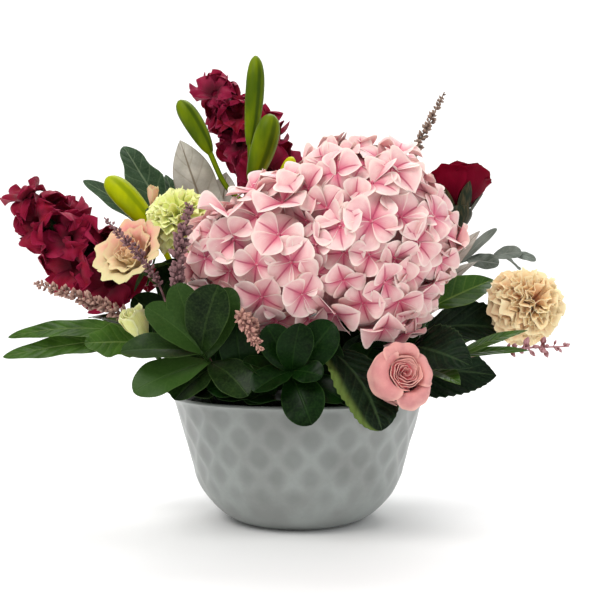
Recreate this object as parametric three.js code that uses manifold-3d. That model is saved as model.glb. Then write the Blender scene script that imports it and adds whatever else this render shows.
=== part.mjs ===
// A low table centrepiece: cut flowers and foliage standing in a block of wet floral foam
// inside a glazed bowl with a quilted diamond relief.
// Millimetres, +Z up. The origin is the centre of the bowl's foot on the table, and -Y is the front.
import * as THREE from "three";
import { mergeVertices } from "three/addons/utils/BufferGeometryUtils.js";
import Module from "manifold-3d";

const wasm = await Module();
wasm.setup();

// Driving dimensions of the bowl and the foam
const BOWL_HEIGHT = 97;
const RIM_RADIUS = 98.5;
const KNEE_HEIGHT = 40;
const KNEE_RADIUS = 82;
const FOOT_RADIUS = 46;
const WALL = 4.2;
const FLOOR = 6;
const KNEE_EXPONENT = 1.5;
const DIAMONDS_AROUND = 22;
const DIAMOND_HALF_HEIGHT = 12;
const DIAMOND_ROWS = 7;
const FIRST_DIAMOND_ROW = 16;
const DIAMOND_TURN = -0.04;
const RELIEF_DEPTH = 1.4;
const FOAM_CLEARANCE = 1.7;
const FOAM_TOP = 104;

// Clearance between touching pieces, and the limit to how far a sharp corner moves for it
const GAP = 0.4;
const SEAT_GAP = 0.3;
const LEAST_SLANT = 0.35;
// Detail smaller than this is smoothed away from blooms, from stems and leaves, from cut edges,
// and last of all from each finished piece
const BLOOM_DETAIL = 0.6;
const LEAF_DETAIL = 0.5;
const CUT_DETAIL = 0.25;
const SLIVER = 0.08;
// Thickness of petals and of leaf blades in the middle, and the half width of a leaf's stalk
const PETAL = 1.3;
const BLADE = 1.2;
const PETIOLE = 0.8;
// How much closer a leaf's rows stand towards its tip
const TIP_CROWDING = 1.4;

const GREEN_DARK = "#23401f";
const GREEN_MID = "#3f6b2c";
const GREEN_LIGHT = "#8fa51c";
const GREEN_STEM = "#4c6a2e";
const SILVER_LEAF = "#9aa096";
const HYDRANGEA_PINK = "#eeb3bd";
const ROSE_PINK = "#e7a3a0";
const DARK_RED = "#5a0d1d";
const BURGUNDY = "#7d1232";
const PEACH = "#e8cf97";
const LIME = "#dbe58b";
const BLUSH = "#ead2ae";
const DUSTY_BROWN = "#8d6f68";
const BOWL_WHITE = "#aab0ae";
const FOAM_GREEN = "#2c4a33";

const GOLDEN_ANGLE = Math.PI * (3 - Math.sqrt(5));
const TAU = 2 * Math.PI;

const vec = (x, y, z) => new THREE.Vector3(x, y, z);
const from = (list) => new THREE.Vector3(...list);
const lerp = THREE.MathUtils.lerp;

// A repeatable stream of numbers from 0 to 1
function seeded(seed) {
  let state = seed;
  return () => {
    state = (state * 1664525 + 1013904223) % 4294967296;
    return state / 4294967296;
  };
}

// A closed solid from points and triangles: equal points are merged, and faces are turned out
function solidOf(points, faces) {
  const raw = new THREE.BufferGeometry();
  raw.setAttribute(
    "position",
    new THREE.Float32BufferAttribute(points.flatMap((p) => p.toArray()), 3),
  );
  raw.setIndex(faces.flat());
  const merged = mergeVertices(raw, 1e-3);
  const vertProperties = merged.attributes.position.array;
  const kept = [];
  let volume = 0;
  for (let i = 0; i < merged.index.count; i += 3) {
    const [a, b, c] = merged.index.array.subarray(i, i + 3);
    if (a === b || b === c || c === a) continue;
    kept.push([a, b, c]);
    const [p, q, r] = [a, b, c].map((k) =>
      vec(...vertProperties.subarray(3 * k, 3 * k + 3)),
    );
    volume += p.dot(q.cross(r));
  }
  const outward =
    volume < 0 ? kept.map(([a, b, c]) => [a, c, b]) : kept;
  return new wasm.Manifold(
    new wasm.Mesh({
      numProp: 3,
      vertProperties,
      triVerts: new Uint32Array(outward.flat()),
    }),
  );
}

// Moves the faces of a solid out by a gap, to cut a clearance with: a sharp corner moves further
function grown(solid, gap) {
  const mesh = solid.getMesh();
  const step = mesh.numProp;
  const corner = (k) =>
    vec(...mesh.vertProperties.subarray(step * k, step * k + 3));
  const facing = Array.from({ length: mesh.numVert }, () => []);
  for (let i = 0; i < mesh.triVerts.length; i += 3) {
    const corners = mesh.triVerts.subarray(i, i + 3);
    const [a, b, c] = [...corners].map(corner);
    const normal = b.sub(a).cross(c.sub(a));
    if (normal.length() < 1e-9) continue;
    normal.normalize();
    for (const k of corners) facing[k].push(normal);
  }
  const vertProperties = new Float32Array(3 * mesh.numVert);
  facing.forEach((normals, k) => {
    const out = normals.reduce((sum, n) => sum.add(n), vec(0, 0, 0)).normalize();
    const slant = Math.min(...normals.map((n) => out.dot(n)), 1);
    const moved = corner(k).addScaledVector(out, gap / Math.max(LEAST_SLANT, slant));
    vertProperties.set(moved.toArray(), 3 * k);
  });
  return new wasm.Manifold(
    new wasm.Mesh({ numProp: 3, vertProperties, triVerts: mesh.triVerts }),
  );
}

function boxesMeet(a, b) {
  const [p, q] = [a.boundingBox(), b.boundingBox()];
  return [0, 1, 2].every(
    (k) => p.min[k] < q.max[k] + 2 * GAP && q.min[k] < p.max[k] + 2 * GAP,
  );
}

const largestBody = (solid) =>
  solid.decompose().sort((a, b) => b.volume() - a.volume())[0];

const smoothed = (solid, detail) => largestBody(solid.asOriginal().simplify(detail));
const fused = (solids, detail = BLOOM_DETAIL) => smoothed(wasm.Manifold.union(solids), detail);

// A rotation that turns +Z to an axis, then a shift to an origin
function placing(origin, axis, spin = 0) {
  const turn = new THREE.Quaternion().setFromUnitVectors(
    vec(0, 0, 1),
    axis.clone().normalize(),
  );
  const twist = new THREE.Quaternion().setFromAxisAngle(vec(0, 0, 1), spin);
  return new THREE.Matrix4().compose(
    origin,
    turn.multiply(twist),
    vec(1, 1, 1),
  );
}

const placed = (solid, origin, axis, spin) =>
  solid.transform(placing(origin, axis, spin).toArray());

// A closed skin through rings of points, with both ends drawn to a point
function ringSolid(start, rings, end) {
  const count = rings[0].length;
  const points = [start, ...rings.flat(), end];
  const faces = [];
  const at = (ring, k) => 1 + ring * count + (k % count);
  for (let k = 0; k < count; k++) {
    faces.push([0, at(0, k + 1), at(0, k)]);
    for (let ring = 0; ring + 1 < rings.length; ring++) {
      faces.push([at(ring, k), at(ring, k + 1), at(ring + 1, k + 1)]);
      faces.push([at(ring, k), at(ring + 1, k + 1), at(ring + 1, k)]);
    }
    const last = rings.length - 1;
    faces.push([at(last, k), at(last, k + 1), points.length - 1]);
  }
  return solidOf(points, faces);
}

const circle = (radius, z, count, turn = 0) =>
  Array.from({ length: count }, (_, k) => {
    const angle = turn + (TAU * k) / count;
    return vec(radius * Math.cos(angle), radius * Math.sin(angle), z);
  });

// A round stem through stations along its middle line, tapering from one radius to the other
function stemSolid(curve, radius, endRadius = radius, sides = 5, steps = 5) {
  const frames = curve.computeFrenetFrames(steps, false);
  const rings = [];
  for (let i = 0; i <= steps; i++) {
    const centre = curve.getPointAt(i / steps);
    const size = lerp(radius, endRadius, i / steps);
    rings.push(
      Array.from({ length: sides }, (_, k) => {
        const angle = (TAU * k) / sides;
        return centre
          .clone()
          .addScaledVector(frames.normals[i], size * Math.cos(angle))
          .addScaledVector(frames.binormals[i], size * Math.sin(angle));
      }),
    );
  }
  return ringSolid(curve.getPointAt(0), rings, curve.getPointAt(1));
}

// The point nearest to a place on the straight runs between a stem's stations
function nearestOnStem(curve, steps, place) {
  const stations = curve.getSpacedPoints(steps);
  stations[steps].lerp(stations[steps - 1], 0.08);
  const nearest = [];
  for (let i = 0; i < steps; i++) {
    const run = new THREE.Line3(stations[i], stations[i + 1]);
    nearest.push(run.closestPointToPoint(place, true, new THREE.Vector3()));
  }
  return nearest.sort((a, b) => a.distanceTo(place) - b.distanceTo(place))[0];
}

// A stem that rises from the foam and arrives at a head along the head's own axis
function risingCurve(foot, base, face, rise, arrive) {
  return new THREE.CubicBezierCurve3(
    foot,
    foot.clone().add(rise),
    base.clone().addScaledVector(face, -arrive),
    base,
  );
}

// A thin leaf or petal over a surface function: full thickness inside and at its root,
// drawn to an edge at its sides and tip
function blade(columns, rows, surface, thickness) {
  const grid = [];
  for (let j = 0; j <= rows; j++)
    for (let i = 0; i <= columns; i++)
      grid.push(surface((2 * i) / columns - 1, j / rows));
  const at = (i, j) => grid[j * (columns + 1) + i];
  const inside = (i, j) => i > 0 && i < columns && j < rows;
  const points = [];
  for (const side of [1, -1])
    for (let j = 0; j <= rows; j++)
      for (let i = 0; i <= columns; i++) {
        const point = at(i, j).clone();
        if (inside(i, j)) {
          const across = at(i + 1, j).clone().sub(at(i - 1, j));
          const along = at(i, j + 1).clone().sub(at(i, Math.max(0, j - 1)));
          point.addScaledVector(across.cross(along).normalize(), (side * thickness) / 2);
        }
        points.push(point);
      }
  const back = grid.length;
  const faces = [];
  for (let i = 0; i < columns; i++) {
    faces.push([i + 1, i, back + i]);
    faces.push([i + 1, back + i, back + i + 1]);
  }
  for (let j = 0; j < rows; j++)
    for (let i = 0; i < columns; i++) {
      const a = j * (columns + 1) + i;
      const corners =
        i < columns / 2
          ? [[a, a + 1, a + columns + 2], [a, a + columns + 2, a + columns + 1]]
          : [[a, a + 1, a + columns + 1], [a + 1, a + columns + 2, a + columns + 1]];
      for (const [p, q, r] of corners) {
        faces.push([p, q, r]);
        faces.push([back + p, back + r, back + q]);
      }
    }
  return solidOf(points, faces);
}

// A closed star: a front fan from its middle to the outline, and a back fan to its root
const starSolid = (middle, outline, root) => ringSolid(root, [outline], middle);

// The bowl: rows of points from the edge of its flat foot, up the outside, over the rim and down inside
function bowlRadius(z) {
  if (z >= KNEE_HEIGHT)
    return lerp(KNEE_RADIUS, RIM_RADIUS, (z - KNEE_HEIGHT) / (BOWL_HEIGHT - KNEE_HEIGHT));
  const drop = ((KNEE_HEIGHT - z) / KNEE_HEIGHT) ** KNEE_EXPONENT;
  return FOOT_RADIUS + (KNEE_RADIUS - FOOT_RADIUS) * (1 - drop) ** (1 / KNEE_EXPONENT);
}

function bowl() {
  const columns = 2 * DIAMONDS_AROUND;
  const rimRound = 1.4;
  const onRidge = (row, k) => (row + k) % 2 === 1;
  const rows = [
    [FOOT_RADIUS, 0],
    [bowlRadius(FIRST_DIAMOND_ROW / 3), FIRST_DIAMOND_ROW / 3],
  ];
  const firstRelief = rows.length;
  for (let row = 0; row < DIAMOND_ROWS; row++) {
    const z = FIRST_DIAMOND_ROW + row * DIAMOND_HALF_HEIGHT;
    rows.push([bowlRadius(z), z]);
  }
  const lastRelief = rows.length - 1;
  rows.push([bowlRadius(BOWL_HEIGHT), BOWL_HEIGHT - rimRound]);
  rows.push([RIM_RADIUS - rimRound, BOWL_HEIGHT]);
  rows.push([RIM_RADIUS - WALL + rimRound, BOWL_HEIGHT]);
  for (const z of [BOWL_HEIGHT - rimRound, KNEE_HEIGHT, 13])
    rows.push([bowlRadius(z) - WALL, z]);
  rows.push([FOOT_RADIUS, FLOOR]);
  const rings = rows.map(([radius, z], row) =>
    circle(1, z, columns, DIAMOND_TURN).map((p, k) => {
      const quilted = row >= firstRelief && row <= lastRelief;
      const plain = row < firstRelief || row > lastRelief + 3;
      const chord = plain && k % 2 ? Math.cos(TAU / columns) : 1;
      const size = radius * chord - (quilted && !onRidge(row, k) ? RELIEF_DEPTH : 0);
      return vec(size * p.x, size * p.y, z);
    }),
  );
  const points = [vec(0, 0, 0), ...rings.flat(), vec(0, 0, FLOOR)];
  const at = (row, k) => 1 + row * columns + (k % columns);
  const faces = [];
  for (let k = 0; k < columns; k++) {
    faces.push([0, at(0, k + 1), at(0, k)]);
    for (let row = 0; row + 1 < rings.length; row++) {
      const [a, b, c, d] = [at(row, k), at(row, k + 1), at(row + 1, k + 1), at(row + 1, k)];
      faces.push(...(onRidge(row, k) ? [[a, b, c], [a, c, d]] : [[a, b, d], [b, c, d]]));
    }
    faces.push([at(rings.length - 1, k), at(rings.length - 1, k + 1), points.length - 1]);
  }
  return solidOf(points, faces);
}

// The foam: fills the bowl, and stands a little proud of the rim with a sloping shoulder
function foam() {
  const sides = 16;
  const inBowl = (z) => bowlRadius(z) - WALL - FOAM_CLEARANCE;
  const shoulder = [
    [inBowl(BOWL_HEIGHT) - 5, BOWL_HEIGHT - 7],
    [70, FOAM_TOP - 3],
    [56, FOAM_TOP],
  ];
  const rings = [
    [FOOT_RADIUS - FOAM_CLEARANCE, FLOOR + SEAT_GAP],
    [inBowl(11) - 2, 12],
    [inBowl(KNEE_HEIGHT) - 1, KNEE_HEIGHT],
    [inBowl(0.7 * BOWL_HEIGHT), 0.7 * BOWL_HEIGHT],
    ...shoulder,
  ].map(([radius, z]) => circle(radius, z, sides));
  return ringSolid(vec(0, 0, FLOOR + SEAT_GAP), rings, vec(0, 0, FOAM_TOP));
}

// The hydrangea: four-petalled florets standing on a lobed core
const HEAD_CENTRE = vec(24, -38, 207);
const HEAD_LOBES = [
  { centre: vec(48, -34, 216), radius: 71 },
  { centre: vec(-42, -46, 206), radius: 39 },
  { centre: vec(-8, -46, 224), radius: 41 },
  { centre: vec(-6, -48, 194), radius: 49 },
  { centre: vec(74, -38, 212), radius: 45 },
  { centre: vec(50, -45, 184), radius: 46 },
];
const FLORET_COUNT = 52;
const FLORET_RADIUS = 21;
const FLORET_ROOT = 14;
const CORE_INSET = 7;
const UNDERSIDE = -0.74;

// Where a ray from the middle of the head leaves its lobes, and how the lobe there faces
function headSurface(direction) {
  let best = { reach: 0 };
  for (const { centre, radius } of HEAD_LOBES) {
    const offset = HEAD_CENTRE.clone().sub(centre);
    const along = offset.dot(direction);
    const square = along * along - offset.lengthSq() + radius * radius;
    const reach = square > 0 ? Math.sqrt(square) - along : 0;
    if (reach <= best.reach) continue;
    const point = HEAD_CENTRE.clone().addScaledVector(direction, reach);
    best = { reach, point, normal: point.clone().sub(centre).normalize() };
  }
  return best;
}

function headCore() {
  const [sides, rings] = [14, 9];
  const point = (direction) => {
    const surface = headSurface(direction);
    return surface.point.addScaledVector(direction, -CORE_INSET);
  };
  const rows = [];
  for (let j = 1; j < rings; j++) {
    const polar = Math.PI * (1 - j / rings);
    rows.push(circle(Math.sin(polar), Math.cos(polar), sides).map(point));
  }
  return ringSolid(point(vec(0, 0, -1)), rows, point(vec(0, 0, 1)));
}

// Picks places one by one, each as far as can be from those picked before
function evenlySpaced(places, count) {
  const picked = [places[0]];
  const gaps = places.map(() => Infinity);
  while (picked.length < count) {
    const last = picked[picked.length - 1];
    places.forEach((place, k) => {
      gaps[k] = Math.min(gaps[k], place.point.distanceTo(last.point));
    });
    picked.push(places[gaps.indexOf(Math.max(...gaps))]);
  }
  return picked;
}

function floret(random) {
  const outline = [];
  for (let petal = 0; petal < 4; petal++) {
    const size = FLORET_RADIUS * lerp(0.93, 1.07, random());
    const droop = -lerp(-1.5, 2.5, random());
    const middle = (TAU * petal) / 4;
    outline.push([middle - TAU / 8, 0.44 * size, -1.4]);
    outline.push([middle - 0.24, 0.97 * size, droop + 0.8]);
    outline.push([middle + 0.3, 0.92 * size, droop - 0.6]);
  }
  const corners = outline.map(([angle, radius, z]) =>
    vec(radius * Math.cos(angle), radius * Math.sin(angle), z),
  );
  return starSolid(vec(0, 0, 0), corners, vec(0, 0, -FLORET_ROOT));
}

function hydrangeaHead() {
  const random = seeded(11);
  const candidates = 700;
  const places = Array.from({ length: candidates }, (_, k) => {
    const z = lerp(1, UNDERSIDE, (k + 0.5) / candidates);
    const across = Math.sqrt(1 - z * z);
    const angle = k * GOLDEN_ANGLE;
    return headSurface(vec(across * Math.cos(angle), across * Math.sin(angle), z));
  });
  const florets = evenlySpaced(places, FLORET_COUNT).map(({ point, normal }) => {
    const tilt = vec(random() - 0.5, random() - 0.5, random() - 0.5).multiplyScalar(0.3);
    return placed(floret(random), point, tilt.add(normal), TAU * random());
  });
  return fused([headCore(), ...florets]);
}

// A rose: broad petals wrapped round a bud whose lip is stepped in a spiral
function rose({ radius, height, rings, budSize = 1 }) {
  const steps = 9;
  const profile = [[0.3, 0.06], [0.42, 0.34], [0.44, 0.74], [0.34, 0.99], [0.2, 0.88]];
  const bud = profile.map(([r, z]) =>
    circle(1, z * height, steps).map((p, k) => {
      const size = budSize * r * radius * (1 + 0.13 * (k % 3));
      return vec(size * p.x, size * p.y, p.z - 0.02 * height * (k % 3));
    }),
  );
  const pieces = [ringSolid(vec(0, 0, 0), bud, vec(0, 0, 0.78 * height))];
  rings.forEach(({ count, waist, lip, top, spread, rows, turn = 0 }) => {
    for (let k = 0; k < count; k++) {
      const middle = turn + (TAU * k) / count;
      const petal = (u, t) => {
        const angle = middle + u * spread * Math.min(1, 0.35 + 1.1 * t);
        const swell = Math.sin((Math.min(t, 0.7) / 0.7) * (Math.PI / 2));
        const flare = (lip - waist) * Math.max(0, (t - 0.5) / 0.5) ** 2 * (1 - 0.3 * u * u);
        const r = radius * (0.16 + (waist - 0.16) * swell + flare + 0.055 * u);
        const z = height * (0.02 + top * t * (1 - 0.16 * u * u * t) - 0.1 * flare);
        return vec(r * Math.cos(angle), r * Math.sin(angle), z);
      };
      pieces.push(blade(4, rows, petal, PETAL));
    }
  });
  return fused(pieces);
}

// A carnation: nested frills round a small core, each with a waved and toothed edge
function carnation({ radius, frills, seed }) {
  const random = seeded(seed);
  const points = 16;
  const heart = vec(0, 0, 0.36 * radius);
  const core = [[0.2, 0], [0.32, 0.25], [0.3, 0.5]].map(([r, z]) =>
    circle(r * radius, z * radius, 8),
  );
  const pieces = [ringSolid(vec(0, 0, -0.04 * radius), core, vec(0, 0, 0.7 * radius))];
  for (let frill = 0; frill < frills; frill++) {
    const opening = lerp(0.3, 1.8, frill / (frills - 1));
    const waves = 5 + (frill % 3);
    const phase = TAU * random();
    const outline = circle(1, 0, points).map((p, k) => {
      const polar = opening + 0.15 * Math.sin((waves * TAU * k) / points + phase);
      const reach = radius * lerp(0.92, 1.04, random()) * (k % 2 ? 0.88 : 1);
      return vec(Math.sin(polar) * p.x, Math.sin(polar) * p.y, Math.cos(polar))
        .multiplyScalar(reach)
        .add(heart);
    });
    const apex = heart.clone().setZ(heart.z + 2.4);
    pieces.push(starSolid(apex, outline, heart.clone().setZ(heart.z - 2.4)));
  }
  return fused(pieces);
}

// A green cup under a bloom, opening into pointed sepals
function calyx(radius, height, sepals, reach) {
  const outline = [];
  for (let k = 0; k < 2 * sepals; k++) {
    const angle = (Math.PI * k) / sepals;
    const sepal = k % 2 ? 0 : reach;
    const [r, z] = [radius + sepal, -0.3 * height - 0.35 * sepal];
    outline.push(vec(r * Math.cos(angle), r * Math.sin(angle), z));
  }
  return starSolid(vec(0, 0, 0.05 * height), outline, vec(0, 0, -1.25 * height));
}

// A leaf from base to tip: folded along its midrib, arched, and toothed or waved at its edge.
// Its half width rises as (t ** shoulder) and falls as ((1 - t) ** point)
function leaf({
  base,
  tip,
  up,
  width,
  arch = 0,
  fold = 0.18,
  rows = 5,
  shoulder = 0.8,
  point = 0.9,
  teeth = 0,
  wave = 0,
}) {
  const along = tip.clone().sub(base);
  const side = along.clone().cross(up).normalize();
  const raise = side.clone().cross(along).normalize();
  const widest = shoulder / (shoulder + point);
  const surface = (u, step) => {
    const t = 1 - (1 - step) ** TIP_CROWDING;
    const notch = teeth && Math.round(step * rows) % 2 === 0 ? 1 - teeth : 1;
    const outline = (t / widest) ** shoulder * ((1 - t) / (1 - widest)) ** point;
    const half = Math.max((width / 2) * outline * notch, t < 0.5 ? PETIOLE : 0);
    const ripple = wave * u * Math.sin(TAU * 1.5 * t) * half;
    return base
      .clone()
      .addScaledVector(along, t)
      .addScaledVector(raise, arch * 4 * t * (1 - t) + Math.abs(u) * fold * half + ripple)
      .addScaledVector(side, u * half);
  };
  return blade(2, rows, surface, BLADE);
}

const splineOf = (points) => new THREE.CatmullRomCurve3(points.map(from));

// A leaf whose base is moved onto a stem's middle line, and a little way through it
function rootedLeaf(curve, steps, { base, tip, ...shape }) {
  const root = nearestOnStem(curve, steps, base);
  const inward = tip.clone().sub(root).setLength(-1.5);
  return leaf({ base: root.add(inward), tip, ...shape });
}

// A knob where leaves meet on a stem
const knob = (centre, size) =>
  ringSolid(
    centre.clone().setZ(centre.z - size),
    [-0.5, 0.5].map((z) => circle(0.85 * size, z * size, 6).map((p) => p.add(centre))),
    centre.clone().setZ(centre.z + size),
  );

// A leafy stem: the stem's own route, and leaves listed by base, tip, upper side and width
function leafyStem({ route, radius = 1.7, leaves, crown = 3, steps = 4 }) {
  const curve = splineOf(route);
  const pieces = [
    stemSolid(curve, radius, 0.8 * radius, 5, steps),
    knob(curve.getPointAt(0.985), crown),
  ];
  for (const [base, tip, up, width, more] of leaves) {
    const shape = { base: from(base), tip: from(tip), up: from(up), width, arch: 3, ...more };
    pieces.push(rootedLeaf(curve, steps, shape));
  }
  return fused(pieces, LEAF_DETAIL);
}

// A snapdragon: ruffled florets all round the upper stem, smaller towards the tip
function snapdragon({ bottom, top, radius, florets, seed }) {
  const random = seeded(seed);
  const axis = top.clone().sub(bottom);
  const direction = axis.clone().normalize();
  const flowers = [
    stemSolid(new THREE.LineCurve3(bottom, top), 0.14 * radius, 0.08 * radius, 6, 1),
  ];
  for (let k = 0; k < florets; k++) {
    const share = (k + 0.5) / florets;
    const size = radius * lerp(1, 0.5, share ** 1.6);
    const foot = bottom.clone().addScaledVector(axis, lerp(0.08, 0.94, share));
    const facing = vec(0, 0, 1)
      .cross(direction)
      .normalize()
      .applyAxisAngle(direction, k * GOLDEN_ANGLE)
      .addScaledVector(direction, lerp(0.15, 0.8, share))
      .normalize();
    const outline = circle(0.52 * size, 0, 12).map((p, i) => {
      const reach = (i % 3 ? 1 : 0.72) * lerp(0.88, 1.12, random());
      return vec(p.x * reach, 0.86 * p.y * reach, size * lerp(-0.14, 0.08, random()));
    });
    const cup = starSolid(vec(0, 0, -0.24 * size), outline, vec(0, 0, -0.74 * size));
    flowers.push(placed(cup, foot.addScaledVector(facing, 0.68 * size), facing, TAU * random()));
  }
  return fused(flowers);
}

// A lily bud: six sided with three ribs, widest past the middle
function lilyBud(base, tip, radius) {
  const axis = tip.clone().sub(base);
  const length = axis.length();
  const rings = [[0.02, 0.3], [0.22, 0.78], [0.6, 1], [0.86, 0.72], [0.97, 0.3]];
  const bud = ringSolid(
    vec(0, 0, 0),
    rings.map(([z, r]) =>
      circle(1, z * length, 6).map((p, k) => {
        const size = r * radius * (k % 2 ? 0.86 : 1.04);
        return vec(size * p.x, size * p.y, p.z);
      }),
    ),
    vec(0, 0, length),
  );
  return placed(bud, base, axis);
}

// A spike of small buds: three to a row, each row turned half a step from the one below
function budSpike({ route, bloomFrom, radius, rows, stemRadius = 1.2, lift = 0.8 }) {
  const curve = splineOf(route);
  const steps = 80;
  const frames = curve.computeFrenetFrames(steps, false);
  const ring = (share, size) => {
    const index = Math.round(share * steps);
    const centre = curve.getPointAt(index / steps);
    return Array.from({ length: 6 }, (_, k) => {
      const { out, forward } = size(k);
      const angle = (TAU * k) / 6;
      return centre
        .clone()
        .addScaledVector(frames.normals[index], out * Math.cos(angle))
        .addScaledVector(frames.binormals[index], out * Math.sin(angle))
        .addScaledVector(frames.tangents[index], forward);
    });
  };
  const rings = [0, 0.35, 0.7].map((share) =>
    ring(share * bloomFrom, () => ({ out: stemRadius, forward: 0 })),
  );
  for (let row = 0; row < rows; row++) {
    const size = radius * Math.sin(Math.PI * lerp(0.3, 0.82, row / rows));
    const bud = (k) =>
      (k + row) % 2 ? { out: 0.3 * size + 0.4, forward: 0 } : { out: size, forward: lift * size };
    rings.push(
      ring(lerp(bloomFrom, 0.98, row / rows), () => ({ out: 0.9 * stemRadius, forward: 0 })),
      ring(lerp(bloomFrom, 0.98, (row + 0.45) / rows), bud),
    );
  }
  return ringSolid(curve.getPointAt(0), rings, curve.getPointAt(1));
}

// Every bloom on a stem of its own: where its base is, which way it faces, and its stem's foot
const ROSE_RINGS = [
  { count: 3, waist: 0.62, lip: 0.74, top: 0.97, spread: 1.12, rows: 2 },
  { count: 5, waist: 0.82, lip: 1.06, top: 0.84, spread: 0.74, rows: 2, turn: 0.4 },
];
const LOOSE_RINGS = [{ count: 5, waist: 0.66, lip: 1, top: 0.86, spread: 0.76, rows: 2 }];
const BUD_RINGS = [{ count: 3, waist: 0.62, lip: 0.66, top: 1, spread: 1.15, rows: 2 }];

const BLOOMS = [
  {
    name: "pink_rose",
    colour: ROSE_PINK,
    base: [66, -83, 111],
    face: [0.16, -0.93, 0.3],
    foot: [40, -34, 76],
    rise: [14, -14, 34],
    arrive: 26,
    stem: 2.3,
    calyx: [6.5, 9, 5, 12],
    head: () => rose({ radius: 23, height: 33, rings: ROSE_RINGS }),
  },
  {
    name: "dark_rose",
    colour: DARK_RED,
    base: [137, 42, 237],
    face: [0.05, 0.35, 0.9],
    foot: [42, 22, 76],
    rise: [34, 8, 60],
    arrive: 50,
    stem: 2.6,
    calyx: [9, 14, 5, 13],
    head: () => rose({ radius: 26, height: 42, rings: ROSE_RINGS }),
  },
  {
    name: "peach_carnation",
    colour: PEACH,
    base: [172, 3, 160],
    face: [0.34, -0.84, 0.4],
    foot: [52, -4, 76],
    rise: [36, 4, 52],
    arrive: 24,
    stem: 2,
    calyx: [6.5, 20, 5, 4],
    head: () => carnation({ radius: 32, frills: 6, seed: 5 }),
  },
  {
    name: "lime_carnation",
    colour: LIME,
    base: [-91, 4, 224],
    face: [-0.1, -0.72, 0.68],
    foot: [-32, 8, 76],
    rise: [-16, 6, 60],
    arrive: 24,
    stem: 2,
    calyx: [5.5, 17, 5, 3],
    head: () => carnation({ radius: 25, frills: 5, seed: 9 }),
  },
  {
    name: "blush_lisianthus",
    colour: BLUSH,
    base: [-121, -7, 196],
    face: [-0.4, -0.74, 0.5],
    foot: [-48, -6, 76],
    rise: [-34, 2, 38],
    arrive: 22,
    stem: 1.9,
    calyx: [5, 9, 5, 14],
    head: () => rose({ radius: 28, height: 34, rings: LOOSE_RINGS }),
  },
  {
    name: "cream_bud",
    colour: LIME,
    base: [-112, -52, 140],
    face: [-0.4, -0.35, 0.85],
    foot: [-54, -24, 76],
    rise: [-20, -8, 30],
    arrive: 14,
    stem: 1.6,
    calyx: [4.2, 6, 5, 7],
    head: () => rose({ radius: 13, height: 24, rings: BUD_RINGS }),
  },
];

// Spikes of brown buds: the stem's route, and where along it the buds begin
const SPIKES = [
  {
    name: "bud_spike_tall",
    route: [[26, 48, 76], [56, 66, 170], [92, 68, 280], [125, 64, 349]],
    bloomFrom: 0.74,
    radius: 6,
    rows: 8,
  },
  {
    name: "bud_spike_upright",
    route: [[-34, -30, 76], [-62, -64, 124], [-84, -88, 180], [-76, -90, 238]],
    bloomFrom: 0.64,
    radius: 8.5,
    rows: 7,
  },
  {
    name: "bud_spike_left",
    route: [[-56, -8, 76], [-92, -10, 128], [-138, -18, 161], [-202, -26, 184]],
    bloomFrom: 0.55,
    radius: 7.5,
    rows: 9,
  },
  {
    name: "bud_spike_blush",
    route: [[-46, -20, 76], [-86, -50, 140], [-106, -66, 192], [-140, -66, 230]],
    bloomFrom: 0.66,
    radius: 6.5,
    rows: 6,
  },
  {
    name: "bud_spike_drooping",
    route: [[-12, -42, 76], [-22, -80, 138], [-38, -108, 159], [-25, -120, 137]],
    bloomFrom: 0.6,
    radius: 8,
    rows: 6,
  },
  {
    name: "bud_spike_right",
    route: [[60, -24, 76], [92, -54, 118], [150, -60, 134], [197, -58, 137]],
    bloomFrom: 0.66,
    radius: 8.5,
    rows: 5,
    stemRadius: 1,
    lift: 0.4,
  },
];

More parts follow.
